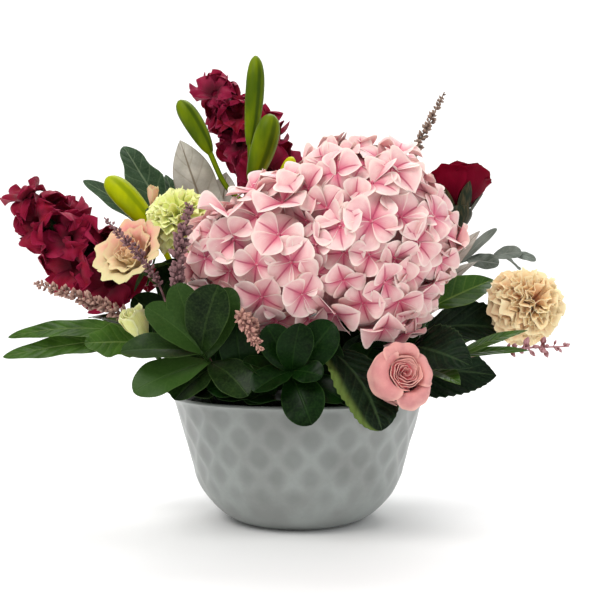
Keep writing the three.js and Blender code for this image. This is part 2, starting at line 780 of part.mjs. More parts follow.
// Leafy sprays: leaves are [base, tip, upper side, width, options]
const OBOVATE = { rows: 4, shoulder: 1.05, point: 0.62 };
const SHORT = { ...OBOVATE, rows: 3 };
const FINGER = { rows: 4, shoulder: 0.45, point: 0.6, fold: 0.1 };
const SPRAYS = [
  {
    name: "glossy_spray_left",
    colour: GREEN_DARK,
    route: [[-40, -44, 76], [-54, -70, 112], [-67, -89, 134]],
    leaves: [
      [[-67, -89, 134], [-85, -93, 182], [0.1, -0.95, 0.1], 22, OBOVATE],
      [[-67, -89, 134], [-54, -108, 181], [-0.2, -0.9, 0.3], 28, OBOVATE],
      [[-64, -86, 130], [-46, -92, 179], [0.1, -0.95, 0.2], 23, OBOVATE],
      [[-67, -89, 134], [-104, -104, 166], [0.1, -0.85, 0.5], 24, OBOVATE],
      [[-67, -89, 133], [-122, -98, 135], [0, -0.7, 0.7], 25, OBOVATE],
      [[-63, -84, 127], [-112, -106, 108], [0, -0.65, 0.75], 26, OBOVATE],
      [[-62, -82, 125], [-34, -112, 106], [0.1, -0.7, 0.7], 25, OBOVATE],
    ],
  },
  {
    name: "glossy_spray_front",
    colour: GREEN_DARK,
    route: [[-6, -46, 76], [-8, -76, 106], [-4, -94, 121]],
    leaves: [
      [[-4, -94, 121], [-22, -98, 153], [-0.1, -0.9, 0.4], 22, OBOVATE],
      [[-4, -94, 121], [1, -106, 155], [0.1, -0.9, 0.4], 23, OBOVATE],
      [[-3, -91, 119], [24, -96, 155], [0.2, -0.9, 0.3], 25, OBOVATE],
      [[-4, -94, 121], [16, -112, 119], [0.1, -0.8, 0.6], 18, SHORT],
      [[-4, -94, 120], [-30, -114, 109], [-0.1, -0.7, 0.7], 21, OBOVATE],
      [[-7, -84, 113], [-38, -100, 128], [-0.1, -0.7, 0.7], 19, OBOVATE],
      [[-4, -90, 117], [7, -115, 84], [0, -0.95, 0.3], 27, OBOVATE],
      [[-4, -88, 115], [31, -104, 102], [0.1, -0.8, 0.6], 20, OBOVATE],
    ],
  },
  {
    name: "glossy_spray_upright",
    colour: GREEN_DARK,
    route: [[-24, -46, 76], [-32, -68, 100], [-38, -78, 110]],
    leaves: [
      [[-38, -78, 110], [-44, -84, 158], [0.1, -1, 0.1], 25, OBOVATE],
      [[-36, -75, 107], [-12, -64, 144], [0.2, -1, 0.1], 24, SHORT],
      [[-37, -76, 108], [-62, -96, 108], [0, -0.7, 0.7], 26, SHORT],
    ],
  },
  {
    name: "low_spray_left",
    colour: GREEN_DARK,
    route: [[-58, -36, 76], [-64, -46, 96], [-68, -52, 106]],
    leaves: [
      [[-68, -52, 106], [-103, -58, 108], [0, -0.55, 0.85], 27, OBOVATE],
      [[-68, -52, 106], [-90, -82, 104], [0, -0.55, 0.85], 26, SHORT],
      [[-67, -51, 105], [-84, -62, 140], [0.1, -1, 0.1], 25, OBOVATE],
    ],
  },
  {
    name: "dark_spray_left",
    colour: GREEN_DARK,
    route: [[-62, -16, 76], [-60, -20, 104], [-64, -20, 128]],
    leaves: [
      [[-64, -20, 128], [-98, -26, 186], [0.1, -0.95, 0.3], 30, OBOVATE],
      [[-64, -20, 128], [-66, -26, 166], [0.1, -0.95, 0.2], 26, OBOVATE],
      [[-63, -20, 122], [-110, -34, 152], [0, -0.8, 0.5], 26, OBOVATE],
      [[-60, -20, 110], [-32, -38, 140], [0, -1, 0.1], 28, OBOVATE],
    ],
  },
  {
    name: "dark_spray_front",
    colour: GREEN_DARK,
    route: [[20, -46, 76], [26, -64, 98], [30, -72, 106]],
    leaves: [
      [[30, -72, 106], [4, -68, 146], [0, -1, 0.1], 28, OBOVATE],
      [[29, -70, 104], [54, -54, 136], [0.1, -1, 0.3], 26, OBOVATE],
      [[29, -70, 104], [41, -104, 96], [0.1, -0.7, 0.7], 19, SHORT],
    ],
  },
  {
    name: "dark_spray_inner",
    colour: GREEN_DARK,
    route: [[28, -14, 76], [38, -10, 100], [44, -8, 112]],
    leaves: [
      [[44, -8, 112], [60, -10, 146], [0.1, -1, 0.1], 34, { rows: 4 }],
      [[43, -9, 110], [94, -18, 122], [0.1, -0.8, 0.6], 28, { rows: 4 }],
      [[42, -9, 108], [12, -2, 140], [-0.1, -1, 0.1], 28, { rows: 4 }],
      [[43, -9, 110], [33, -10, 152], [0, -1, 0.1], 26, { rows: 4 }],
    ],
  },
  {
    name: "broad_spray_right",
    colour: GREEN_MID,
    route: [[60, 16, 76], [88, 10, 126], [104, -8, 165]],
    leaves: [
      [[104, -8, 165], [156, 11, 187], [-0.2, -0.85, 0.45], 28],
      [[100, -6, 157], [156, 38, 176], [0, 0.1, 1], 20],
    ],
  },
  {
    name: "lance_spray_right",
    colour: GREEN_MID,
    route: [[50, -26, 76], [82, -56, 112], [116, -68, 131]],
    leaves: [
      [[114, -67, 130], [163, -74, 149], [0, -0.7, 0.7], 9],
      [[112, -66, 129], [166, -66, 134], [0, -0.6, 0.8], 8],
      [[94, -60, 119], [112, -94, 112], [0.1, -0.7, 0.7], 20],
    ],
  },
  {
    name: "lobed_leaf_left",
    colour: GREEN_MID,
    route: [[-60, 2, 76], [-92, -8, 124], [-126, -20, 146]],
    leaves: [
      [[-124, -19, 145], [-222, -24, 142], [0, -0.85, 0.5], 14, { ...FINGER, arch: 9 }],
      [[-120, -18, 143], [-226, -24, 127], [0, -0.85, 0.5], 19, { ...FINGER, arch: 4 }],
      [[-110, -16, 137], [-161, -36, 138], [0.1, -0.9, 0.4], 26, { rows: 4, point: 0.6 }],
      [[-126, -20, 146], [-172, 26, 156], [0.1, -0.4, 0.9], 18, { rows: 4 }],
    ],
  },
  {
    name: "lobed_leaf_back",
    colour: GREEN_DARK,
    route: [[-40, 36, 76], [-76, 60, 150], [-104, 60, 228]],
    leaves: [
      [[-103, 60, 224], [-150, 62, 302], [0.4, -0.85, 0.3], 31, { rows: 4, point: 0.6 }],
      [[-101, 60, 218], [-183, 56, 272], [0.3, -0.8, 0.5], 20, FINGER],
      [[-97, 60, 210], [-152, 72, 228], [0.2, -0.6, 0.8], 20, { rows: 4 }],
      [[-104, 60, 228], [-116, 78, 280], [0.5, -0.7, 0.3], 24, { rows: 4 }],
    ],
  },
  {
    name: "silver_leaf_left",
    colour: SILVER_LEAF,
    route: [[-26, 26, 76], [-56, 44, 150], [-72, 50, 226]],
    leaves: [
      [[-71, 50, 220], [-99, 42, 304], [0.2, -0.95, 0.2], 38, { wave: 0.3 }],
      [[-72, 50, 224], [-62, 62, 280], [0.2, -0.9, 0.2], 26, { wave: 0.3 }],
    ],
  },
  {
    name: "silver_leaf_right",
    colour: SILVER_LEAF,
    route: [[52, 16, 76], [88, 22, 130], [112, 18, 182]],
    leaves: [
      [[112, 18, 182], [145, 8, 226], [-0.5, -0.8, 0.3], 13, { rows: 4 }],
      [[108, 18, 176], [146, 26, 202], [-0.3, -0.7, 0.6], 12, { rows: 4 }],
    ],
  },
  {
    name: "eucalyptus_sprig",
    colour: SILVER_LEAF,
    route: [[44, 8, 76], [84, 20, 132], [126, 34, 198], [182, 28, 208]],
    radius: 1.3,
    crown: 1.7,
    steps: 7,
    leaves: [
      [[136, 33, 203], [166, 26, 228], [-0.3, -0.8, 0.5], 11, { arch: 1, rows: 3 }],
      [[148, 33, 205], [166, 22, 200], [0, -0.8, 0.6], 15, { arch: 1, rows: 3 }],
      [[164, 32, 207], [188, 24, 211], [0, -0.8, 0.6], 14, { arch: 1, rows: 3 }],
      [[168, 32, 207], [184, 44, 196], [0, -0.6, 0.8], 13, { arch: 1, rows: 3 }],
      [[180, 28, 208], [206, 26, 203], [0, -0.8, 0.6], 12, { arch: 1, rows: 3 }],
    ],
  },
  {
    name: "glossy_spray_back",
    colour: GREEN_DARK,
    route: [[-10, 50, 76], [-14, 76, 108], [-16, 92, 132]],
    leaves: [
      [[-16, 91, 131], [-42, 104, 168], [0, 0.8, 0.5], 28, SHORT],
      [[-16, 91, 131], [-4, 106, 178], [0, 1, 0.2], 28, SHORT],
      [[-16, 90, 130], [-50, 116, 126], [0, 0.5, 0.85], 28, SHORT],
      [[-16, 90, 130], [24, 114, 134], [0, 0.5, 0.85], 28, SHORT],
      [[-15, 84, 120], [-12, 124, 96], [0, 0.6, 0.8], 28, SHORT],
    ],
  },
  {
    name: "glossy_spray_back_left",
    colour: GREEN_DARK,
    route: [[-40, 40, 76], [-60, 56, 110], [-74, 70, 132]],
    leaves: [
      [[-74, 70, 132], [-76, 88, 182], [-0.3, 0.8, 0.3], 28, SHORT],
      [[-74, 70, 132], [-118, 70, 158], [-0.3, 0.6, 0.7], 28, SHORT],
      [[-74, 70, 132], [-112, 92, 122], [-0.3, 0.4, 0.85], 27, SHORT],
      [[-70, 66, 126], [-68, 112, 108], [0, 0.5, 0.85], 28, SHORT],
      [[-70, 66, 126], [-106, 50, 104], [-0.3, 0.2, 0.9], 26, SHORT],
    ],
  },
  {
    name: "glossy_spray_back_right",
    colour: GREEN_DARK,
    route: [[46, 40, 76], [62, 58, 108], [76, 72, 130]],
    leaves: [
      [[76, 72, 130], [76, 90, 178], [0.3, 0.8, 0.3], 28, SHORT],
      [[76, 72, 130], [120, 70, 152], [0.3, 0.6, 0.7], 28, SHORT],
      [[74, 70, 127], [114, 94, 120], [0.3, 0.4, 0.85], 27, SHORT],
      [[72, 68, 124], [68, 114, 106], [0, 0.5, 0.85], 28, SHORT],
      [[72, 68, 124], [108, 50, 102], [0.3, 0.2, 0.9], 26, SHORT],
    ],
  },
  {
    name: "dark_spray_back",
    colour: GREEN_DARK,
    route: [[20, 44, 76], [24, 58, 98], [26, 68, 112]],
    leaves: [
      [[26, 68, 112], [50, 96, 122], [0, 0.5, 0.85], 27, SHORT],
      [[26, 68, 112], [26, 82, 148], [0, 1, 0.1], 28, SHORT],
      [[25, 66, 110], [20, 110, 102], [0, 0.5, 0.85], 28, SHORT],
    ],
  },
];

// The hydrangea's own stem with its toothed leaves on long stalks
const TOOTHED = { rows: 9, teeth: 0.13, shoulder: 0.7, point: 0.85 };
const HYDRANGEA_STEM = {
  foot: [8, -10, 76],
  joint: [12, -16, 116],
  top: [20, -26, 166],
  radius: 3.4,
  leaves: [
    { stalk: [21, -70, 136], tip: [50, -113, 80], up: [0.5, -0.85, 0.3], width: 40, arch: 4 },
    { stalk: [84, -56, 136], tip: [121, -90, 124], up: [0.1, -0.9, 0.45], width: 42, arch: 5 },
    { stalk: [100, -18, 148], tip: [174, 10, 143], up: [-0.2, -0.7, 0.7], width: 34, arch: 5 },
    { stalk: [70, -34, 114], tip: [148, -40, 114], up: [0, -0.95, 0.3], width: 36, arch: 4 },
    { stalk: [12, 30, 144], tip: [24, 108, 152], up: [0, 0.4, 0.9], width: 40, arch: 7 },
  ],
};

function hydrangeaStem() {
  const { foot, joint, top, radius, leaves } = HYDRANGEA_STEM;
  const pieces = [stemSolid(splineOf([foot, joint, top]), radius, radius, 6, 4)];
  for (const { stalk, tip, up, ...more } of leaves) {
    const [start, end] = [from(joint), from(stalk)];
    const middle = start.clone().lerp(end, 0.5).setZ(end.z - 4);
    const curve = new THREE.CatmullRomCurve3([start, middle, end]);
    pieces.push(
      stemSolid(curve, 1.7, 1.3, 5, 3),
      rootedLeaf(curve, 3, { base: end, tip: from(tip), up: from(up), ...TOOTHED, ...more }),
    );
  }
  return fused(pieces);
}

// Lily stems with long green buds on bent stalks
const LILIES = [
  {
    name: "lily_buds_tall",
    colour: GREEN_LIGHT,
    route: [[-16, 20, 76], [-26, 26, 160], [-36, 26, 262]],
    buds: [
      { stalk: [[-35, 26, 250], [-39, 28, 278], [-40, 30, 302]], tip: [-35, 30, 371], radius: 8 },
      { stalk: [[-36, 26, 256], [-37, 18, 262], [-37, 12, 268]], tip: [-21, 4, 318], radius: 10.5 },
      { stalk: [[-34, 26, 244], [-58, 30, 262], [-74, 30, 294]], tip: [-98, 28, 334], radius: 8.5 },
      { stalk: [[-33, 26, 236], [-24, 34, 250], [-18, 40, 262]], tip: [-5, 44, 290], radius: 6 },
    ],
  },
  {
    name: "lily_bud_left",
    colour: GREEN_LIGHT,
    route: [[-38, 22, 76], [-78, 34, 146], [-112, 34, 214]],
    buds: [
      { stalk: [[-111, 34, 210], [-117, 29, 222], [-121, 24, 232]], tip: [-156, 22, 270], radius: 10.5 },
    ],
  },
];

function lilyStem({ route, buds }) {
  const pieces = [stemSolid(splineOf(route), 3, 2.4, 6, 4)];
  for (const { stalk, tip, radius } of buds) {
    const base = from(stalk[stalk.length - 1]);
    const root = base.clone().lerp(from(tip), -0.06);
    pieces.push(stemSolid(splineOf(stalk), 2.1, 2.4, 5, 3), lilyBud(root, from(tip), radius));
  }
  return fused(pieces);
}

const SNAPDRAGONS = [
  {
    name: "snapdragon_tall",
    bottom: [-24, 80, 276],
    top: [-74, 80, 364],
    foot: [-12, 38, 76],
    rise: [2, 16, 80],
    radius: 42,
    florets: 11,
    seed: 21,
  },
  {
    name: "snapdragon_left",
    bottom: [-143, 26, 180],
    top: [-227, 28, 252],
    foot: [-56, 14, 76],
    rise: [-34, 10, 40],
    radius: 42,
    florets: 12,
    seed: 33,
  },
];

// Assembly: [name, colour, solid], in the order in which the pieces give way to one another
const nodes = [["bowl", BOWL_WHITE, smoothed(bowl(), CUT_DETAIL)]];
nodes.push(["hydrangea_head", HYDRANGEA_PINK, hydrangeaHead()]);
for (const bloom of BLOOMS)
  nodes.push([
    bloom.name + "_head",
    bloom.colour,
    placed(bloom.head(), from(bloom.base), from(bloom.face)),
  ]);
for (const spike of SNAPDRAGONS)
  nodes.push([
    spike.name + "_flowers",
    BURGUNDY,
    snapdragon({ ...spike, bottom: from(spike.bottom), top: from(spike.top) }),
  ]);
nodes.push(["hydrangea_stem", GREEN_DARK, hydrangeaStem()]);
for (const lily of LILIES) nodes.push([lily.name, lily.colour, lilyStem(lily)]);
for (const bloom of BLOOMS) {
  const [base, face] = [from(bloom.base), from(bloom.face).normalize()];
  const [radius, height] = bloom.calyx;
  const neck = base.clone().addScaledVector(face, -0.9 * height);
  const curve = risingCurve(from(bloom.foot), neck, face, from(bloom.rise), bloom.arrive);
  const stem = stemSolid(curve, bloom.stem, bloom.stem, 6, 6);
  const cup = placed(calyx(...bloom.calyx), base, face);
  nodes.push([bloom.name + "_stem", GREEN_STEM, fused([stem, cup])]);
}
for (const spike of SNAPDRAGONS) {
  const [bottom, top] = [from(spike.bottom), from(spike.top)];
  const face = top.clone().sub(bottom).normalize();
  const curve = risingCurve(from(spike.foot), bottom, face, from(spike.rise), 50);
  nodes.push([spike.name + "_stem", GREEN_STEM, stemSolid(curve, 3, 2.6, 6, 6)]);
}
for (const spike of SPIKES) nodes.push([spike.name, DUSTY_BROWN, budSpike(spike)]);
for (const spray of SPRAYS) nodes.push([spray.name, spray.colour, leafyStem(spray)]);
nodes.push(["foam", FOAM_GREEN, foam()]);

const centrepiece = new THREE.Group();
const finished = [];
for (const [name, colour, solid] of nodes) {
  const cutters = finished
    .filter((other) => boxesMeet(solid, other.solid))
    .flatMap((other) => [other.grown, other.solid]);
  const cleared = (whole) =>
    largestBody(cutters.reduce((rest, cutter) => rest.subtract(cutter), whole));
  const cut = cutters.length ? cleared(smoothed(cleared(solid), CUT_DETAIL)) : solid;
  const clear = smoothed(cut, SLIVER);
  finished.push({ solid: clear, grown: grown(clear, GAP) });
  const mesh = clear.getMesh();
  const geometry = new THREE.BufferGeometry();
  geometry.setAttribute("position", new THREE.BufferAttribute(mesh.vertProperties, 3));
  geometry.setIndex(new THREE.BufferAttribute(mesh.triVerts, 1));
  geometry.computeVertexNormals();
  const material = new THREE.MeshStandardMaterial({ color: colour, roughness: 0.7, metalness: 0 });
  const node = new THREE.Mesh(geometry, material);
  node.name = name;
  centrepiece.add(node);
}

export default centrepiece;
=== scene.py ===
"""A floral centrepiece: cut flowers and foliage in a glazed bowl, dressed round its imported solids.

Every size and place below is in millimetres, in the solids' own frame: +Z is up, -Y is the
front, and the origin is the middle of the bowl's foot. Meshes are written in metres.
"""

import math

import bpy
import numpy as np
from bpy.props import FloatProperty, FloatVectorProperty, IntProperty, PointerProperty
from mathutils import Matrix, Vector


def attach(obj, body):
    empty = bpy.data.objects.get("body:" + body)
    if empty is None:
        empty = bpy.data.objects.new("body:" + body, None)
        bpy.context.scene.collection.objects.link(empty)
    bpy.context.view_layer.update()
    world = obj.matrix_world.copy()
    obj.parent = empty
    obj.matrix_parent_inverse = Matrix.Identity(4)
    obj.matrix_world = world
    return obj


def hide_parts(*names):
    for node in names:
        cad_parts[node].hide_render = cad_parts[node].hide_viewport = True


bl_info = {
    "name": "Floral Centrepiece",
    "version": (1, 0, 0),
    "blender": (4, 5, 0),
    "location": "3D View > Sidebar > Centrepiece",
    "description": "Blooms, foliage, bowl and stage of a floral table centrepiece",
    "category": "Add Mesh",
}

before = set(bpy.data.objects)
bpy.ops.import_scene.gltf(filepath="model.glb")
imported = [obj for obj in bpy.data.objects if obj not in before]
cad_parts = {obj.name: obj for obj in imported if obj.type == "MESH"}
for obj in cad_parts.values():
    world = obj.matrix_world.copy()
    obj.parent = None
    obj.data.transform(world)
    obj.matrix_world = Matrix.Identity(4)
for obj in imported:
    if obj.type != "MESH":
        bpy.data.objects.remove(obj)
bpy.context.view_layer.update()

MM = 0.001
TAU = 2 * math.pi
GOLDEN_ANGLE = math.pi * (3 - math.sqrt(5))
CREASE_ANGLE = math.radians(48)
SPLINE_STEPS = 24


def tint(red, green, blue):
    """A linear colour from three everyday numbers of 0 to 255."""
    shares = [value / 255 for value in (red, green, blue)]
    return tuple(
        s / 12.92 if s <= 0.04045 else ((s + 0.055) / 1.055) ** 2.4 for s in shares
    )


def blend(first, second, share):
    """A colour part of the way from one to another."""
    return tuple(a + (b - a) * share for a, b in zip(first, second))


def at(*numbers):
    return np.array(numbers, float)


def unit(vector):
    return vector / max(np.linalg.norm(vector), 1e-12)


def lerp(low, high, share):
    return low + (high - low) * share


def part_way(distance, reach):
    """How much of a reach a distance covers, held between 0 and 1."""
    return np.clip(distance / reach, 0, 1)


def compass(across, angle, up):
    """A point or direction at an angle about +Z."""
    return at(across * math.cos(angle), across * math.sin(angle), up)


def level_ring(radius, angles, z):
    """Points about +Z at one height. The radius is one number, or one for each angle."""
    return np.column_stack(
        [radius * np.cos(angles), radius * np.sin(angles), np.full(len(angles), z)]
    )


def stretched(profile, height, radius):
    """A profile of (height, radius) shares as real sizes."""
    return [(up * height, out * radius) for up, out in profile]


# Forms: closed shapes as points, faces and places


class Form:
    """A closed shape. Each point has a place: across -1 to 1, along 0 to 1, and a seed of 0 to 1.

    The seed tells one petal or leaf from the next, and 2 is added to it on an underside.
    """

    def __init__(self, points, faces, places):
        self.points = np.asarray(points, float)
        self.faces = faces
        self.places = np.asarray(places, float)

    def moved(self, origin=(0, 0, 0), axis=None, spin=0.0):
        """The form spun about +Z, then turned so that +Z lies along an axis, then shifted."""
        facing = Vector((0, 0, 1) if axis is None else axis)
        turn = np.array(Vector((0, 0, 1)).rotation_difference(facing).to_matrix())
        c, s = math.cos(spin), math.sin(spin)
        turn = turn @ np.array([[c, -s, 0], [s, c, 0], [0, 0, 1]])
        return Form(self.points @ turn.T + np.asarray(origin, float), self.faces, self.places)


def joined(forms):
    """Several forms as one, in the order given."""
    faces, first = [], 0
    for form in forms:
        faces.extend(tuple(first + k for k in face) for face in form.faces)
        first += len(form.points)
    points = np.vstack([form.points for form in forms])
    return Form(points, faces, np.vstack([form.places for form in forms]))


def sheet(surface, columns, rows, thickness, seed=0.5, edge=0.3):
    """A thin closed petal or leaf over surface(across, along), thinner at its rim."""
    across, along = np.meshgrid(np.linspace(-1, 1, columns + 1), np.linspace(0, 1, rows + 1))
    middle = surface(across, along)
    normal = np.cross(np.gradient(middle, axis=1), np.gradient(middle, axis=0))
    normal /= np.maximum(np.linalg.norm(normal, axis=2, keepdims=True), 1e-9)
    swell = (1 - across**4) * np.clip(6 * (1 - along), 0, 1)
    half = 0.5 * thickness * (edge + (1 - edge) * swell)[..., None]
    points = np.vstack([(middle + side * normal * half).reshape(-1, 3) for side in (1, -1)])
    count = across.size
    width = columns + 1
    faces = []
    for j in range(rows):
        for i in range(columns):
            a = j * width + i
            faces.append((a, a + 1, a + width + 1, a + width))
            faces.append((count + a, count + a + width, count + a + width + 1, count + a + 1))
    rim = list(range(columns))
    rim += [j * width + columns for j in range(rows)]
    rim += [rows * width + i for i in range(columns, 0, -1)]
    rim += [j * width for j in range(rows, 0, -1)]
    for p, q in zip(rim, rim[1:] + rim[:1]):
        faces.append((p, count + p, count + q, q))
    top = np.column_stack([across.ravel(), along.ravel(), np.full(count, seed)])
    return Form(points, faces, np.vstack([top, top + at(0, 0, 2)]))


def rings_skinned(rings, start, end, seed=0.5):
    """A closed skin through rings of points, drawn to a point at both ends."""
    stations, sides = len(rings), len(rings[0])
    points = np.vstack([start, *rings, end])
    faces = []
    for k in range(sides):
        n = (k + 1) % sides
        faces.append((0, 1 + n, 1 + k))
        for j in range(stations - 1):
            a, b = 1 + j * sides, 1 + (j + 1) * sides
            faces.append((a + k, a + n, b + n, b + k))
        last = 1 + (stations - 1) * sides
        faces.append((last + k, last + n, len(points) - 1))
    around = 2 * np.arange(sides) / sides - 1
    along = np.repeat(np.linspace(0, 1, stations), sides)
    middle = np.column_stack([np.tile(around, stations), along, np.full(along.size, seed)])
    return Form(points, faces, np.vstack([at(0, 0, seed), middle, at(0, 1, seed)]))


def spline(points, count):
    """A smooth line through points, with its stations evenly spaced."""
    points = np.asarray(points, float)
    knots = np.vstack([2 * points[0] - points[1], points, 2 * points[-1] - points[-2]])
    spans = []
    for p0, p1, p2, p3 in zip(knots, knots[1:], knots[2:], knots[3:]):
        d0, d1, d2 = (
            math.sqrt(max(np.linalg.norm(b - a), 1e-6)) for a, b in ((p0, p1), (p1, p2), (p2, p3))
        )
        m1 = d1 * ((p1 - p0) / d0 - (p2 - p0) / (d0 + d1) + (p2 - p1) / d1)
        m2 = d1 * ((p2 - p1) / d1 - (p3 - p1) / (d1 + d2) + (p3 - p2) / d2)
        t = np.linspace(0, 1, SPLINE_STEPS, endpoint=False)[:, None]
        spans.append(
            p1
            + m1 * t
            + (3 * (p2 - p1) - 2 * m1 - m2) * t**2
            + (2 * (p1 - p2) + m1 + m2) * t**3
        )
    return evenly_stepped(np.vstack([*spans, points[-1:]]), count)


def evenly_stepped(line, count):
    run = np.concatenate([[0], np.cumsum(np.linalg.norm(np.diff(line, axis=0), axis=1))])
    steps = np.linspace(0, run[-1], count)
    return np.column_stack([np.interp(steps, run, line[:, k]) for k in range(line.shape[1])])


def bezier(a, b, c, d, count):
    t = np.linspace(0, 1, 4 * count)[:, None]
    line = (1 - t) ** 3 * a + 3 * (1 - t) ** 2 * t * b + 3 * (1 - t) * t**2 * c + t**3 * d
    return evenly_stepped(line, count)


def carried_frames(line):
    """Tangents along a line, and a pair of cross directions that don't twist about it."""
    tangents = np.gradient(line, axis=0)
    tangents /= np.linalg.norm(tangents, axis=1, keepdims=True)
    side = np.cross(tangents[0], at(0.31, 0.95, 0.07))
    sides = []
    for tangent in tangents:
        side = unit(side - tangent * np.dot(side, tangent))
        sides.append(side)
    sides = np.array(sides)
    return tangents, sides, np.cross(tangents, sides)


def tube(line, radius, sides=10, seed=0.5, ridges=0.0):
    """A closed round stem along a line. The radius is one number, or one for each station."""
    radius = np.broadcast_to(radius, len(line))
    _, normals, binormals = carried_frames(line)
    angles = TAU * np.arange(sides) / sides
    size = 1 + ridges * np.cos(angles * sides / 2)
    rings = [
        centre + r * (np.outer(np.cos(angles) * size, n) + np.outer(np.sin(angles) * size, b))
        for centre, r, n, b in zip(line, radius, normals, binormals)
    ]
    return rings_skinned(rings, line[0], line[-1], seed)


def turned(profile, sides, stations=16, ripple=None, seed=0.5):
    """A closed form about +Z through (height, radius) pairs, with ripple(angle, share) on it."""
    outline = spline([(z, r, 0) for z, r in profile], stations)
    angles = TAU * np.arange(sides) / sides
    rings = []
    for k, (z, r, _) in enumerate(outline):
        size = max(r, 0.02) * (ripple(angles, k / (stations - 1)) if ripple else 1)
        rings.append(level_ring(size, angles, z))
    return rings_skinned(rings, at(0, 0, outline[0][0]), at(0, 0, outline[-1][0]), seed)


def mesh_piece(name, node, form, finish):
    """Writes a form as a mesh object that rides on the root and stands for a node's solid."""
    mesh = bpy.data.meshes.new(name)
    mesh.from_pydata((form.points * MM).tolist(), [], form.faces)
    mesh.polygons.foreach_set("use_smooth", [True] * len(mesh.polygons))
    mesh.set_sharp_from_angle(angle=CREASE_ANGLE)
    place = mesh.attributes.new("place", "FLOAT_VECTOR", "POINT")
    place.data.foreach_set("vector", form.places.ravel())
    mesh.materials.append(finish)
    mesh.update()
    piece = bpy.data.objects.new(name, mesh)
    bpy.context.scene.collection.objects.link(piece)
    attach(piece, "root")
    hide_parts(node)
    return piece


# Finishes: procedural materials built from a form's places and from noise


class Finish:
    """A procedural material that is put together node by node."""

    def __init__(self, name):
        self.material = bpy.data.materials.new(name)
        self.material.use_nodes = True
        self.nodes = self.material.node_tree.nodes
        self.links = self.material.node_tree.links
        self.nodes.clear()
        output = self.nodes.new("ShaderNodeOutputMaterial")
        self.shader = self.nodes.new("ShaderNodeBsdfPrincipled")
        self.links.new(self.shader.outputs["BSDF"], output.inputs["Surface"])

    def feed(self, socket, value):
        if isinstance(value, bpy.types.NodeSocket):
            self.links.new(value, socket)
        elif socket.type == "RGBA" and len(value) == 3:
            socket.default_value = (*value, 1)
        else:
            socket.default_value = value

    def maths(self, operation, *values):
        node = self.nodes.new("ShaderNodeMath")
        node.operation = operation
        for socket, value in zip(node.inputs, values):
            self.feed(socket, value)
        return node.outputs[0]

    def times(self, first, second):
        return self.maths("MULTIPLY", first, second)

    def scaled(self, value, factor, shift):
        """The value times a factor, and then shifted."""
        return self.maths("MULTIPLY_ADD", value, factor, shift)

    def ramp(self, value, low, high, at_low=0.0, at_high=1.0):
        """A smooth change from one value to another as the input goes from low to high."""
        node = self.nodes.new("ShaderNodeMapRange")
        node.interpolation_type = "SMOOTHSTEP"
        for socket, number in zip(node.inputs, (value, low, high, at_low, at_high)):
            self.feed(socket, number)
        return node.outputs[0]

    def mix(self, share, first, second):
        node = self.nodes.new("ShaderNodeMix")
        node.data_type = "RGBA"
        self.feed(node.inputs[0], share)
        self.feed(node.inputs[6], first)
        self.feed(node.inputs[7], second)
        return node.outputs[2]

    def place(self):
        """Across, along, seed, and 1 where the surface is an underside."""
        attribute = self.nodes.new("ShaderNodeAttribute")
        attribute.attribute_name = "place"
        split = self.nodes.new("ShaderNodeSeparateXYZ")
        self.links.new(attribute.outputs["Vector"], split.inputs[0])
        across, along, seed = split.outputs
        return across, along, self.maths("FRACT", seed), self.ramp(seed, 1.1, 1.9)

    def noise(self, size, detail=3.0, stretch=(1, 1, 1)):
        """Noise with features of a size in millimetres, in the frame's own space."""
        coordinates = self.nodes.new("ShaderNodeTexCoord")
        mapping = self.nodes.new("ShaderNodeMapping")
        mapping.inputs["Scale"].default_value = tuple(1 / (MM * size * s) for s in stretch)
        self.links.new(coordinates.outputs["Object"], mapping.inputs["Vector"])
        noise = self.nodes.new("ShaderNodeTexNoise")
        self.links.new(mapping.outputs["Vector"], noise.inputs["Vector"])
        noise.inputs["Scale"].default_value = 1.0
        noise.inputs["Detail"].default_value = detail
        return noise.outputs["Fac"]

    def cells(self, size):
        coordinates = self.nodes.new("ShaderNodeTexCoord")
        voronoi = self.nodes.new("ShaderNodeTexVoronoi")
        self.links.new(coordinates.outputs["Object"], voronoi.inputs["Vector"])
        voronoi.inputs["Scale"].default_value = 1 / (MM * size)
        return voronoi.outputs["Distance"]

    def bump(self, height, depth, strength):
        node = self.nodes.new("ShaderNodeBump")
        node.inputs["Strength"].default_value = strength
        node.inputs["Distance"].default_value = depth * MM
        self.feed(node.inputs["Height"], height)
        self.links.new(node.outputs[0], self.shader.inputs["Normal"])

    def made(self, colour, roughness, **sockets):
        self.feed(self.shader.inputs["Base Color"], colour)
        self.feed(self.shader.inputs["Roughness"], roughness)
        for name, value in sockets.items():
            self.feed(self.shader.inputs[name.replace("_", " ")], value)
        return self.material


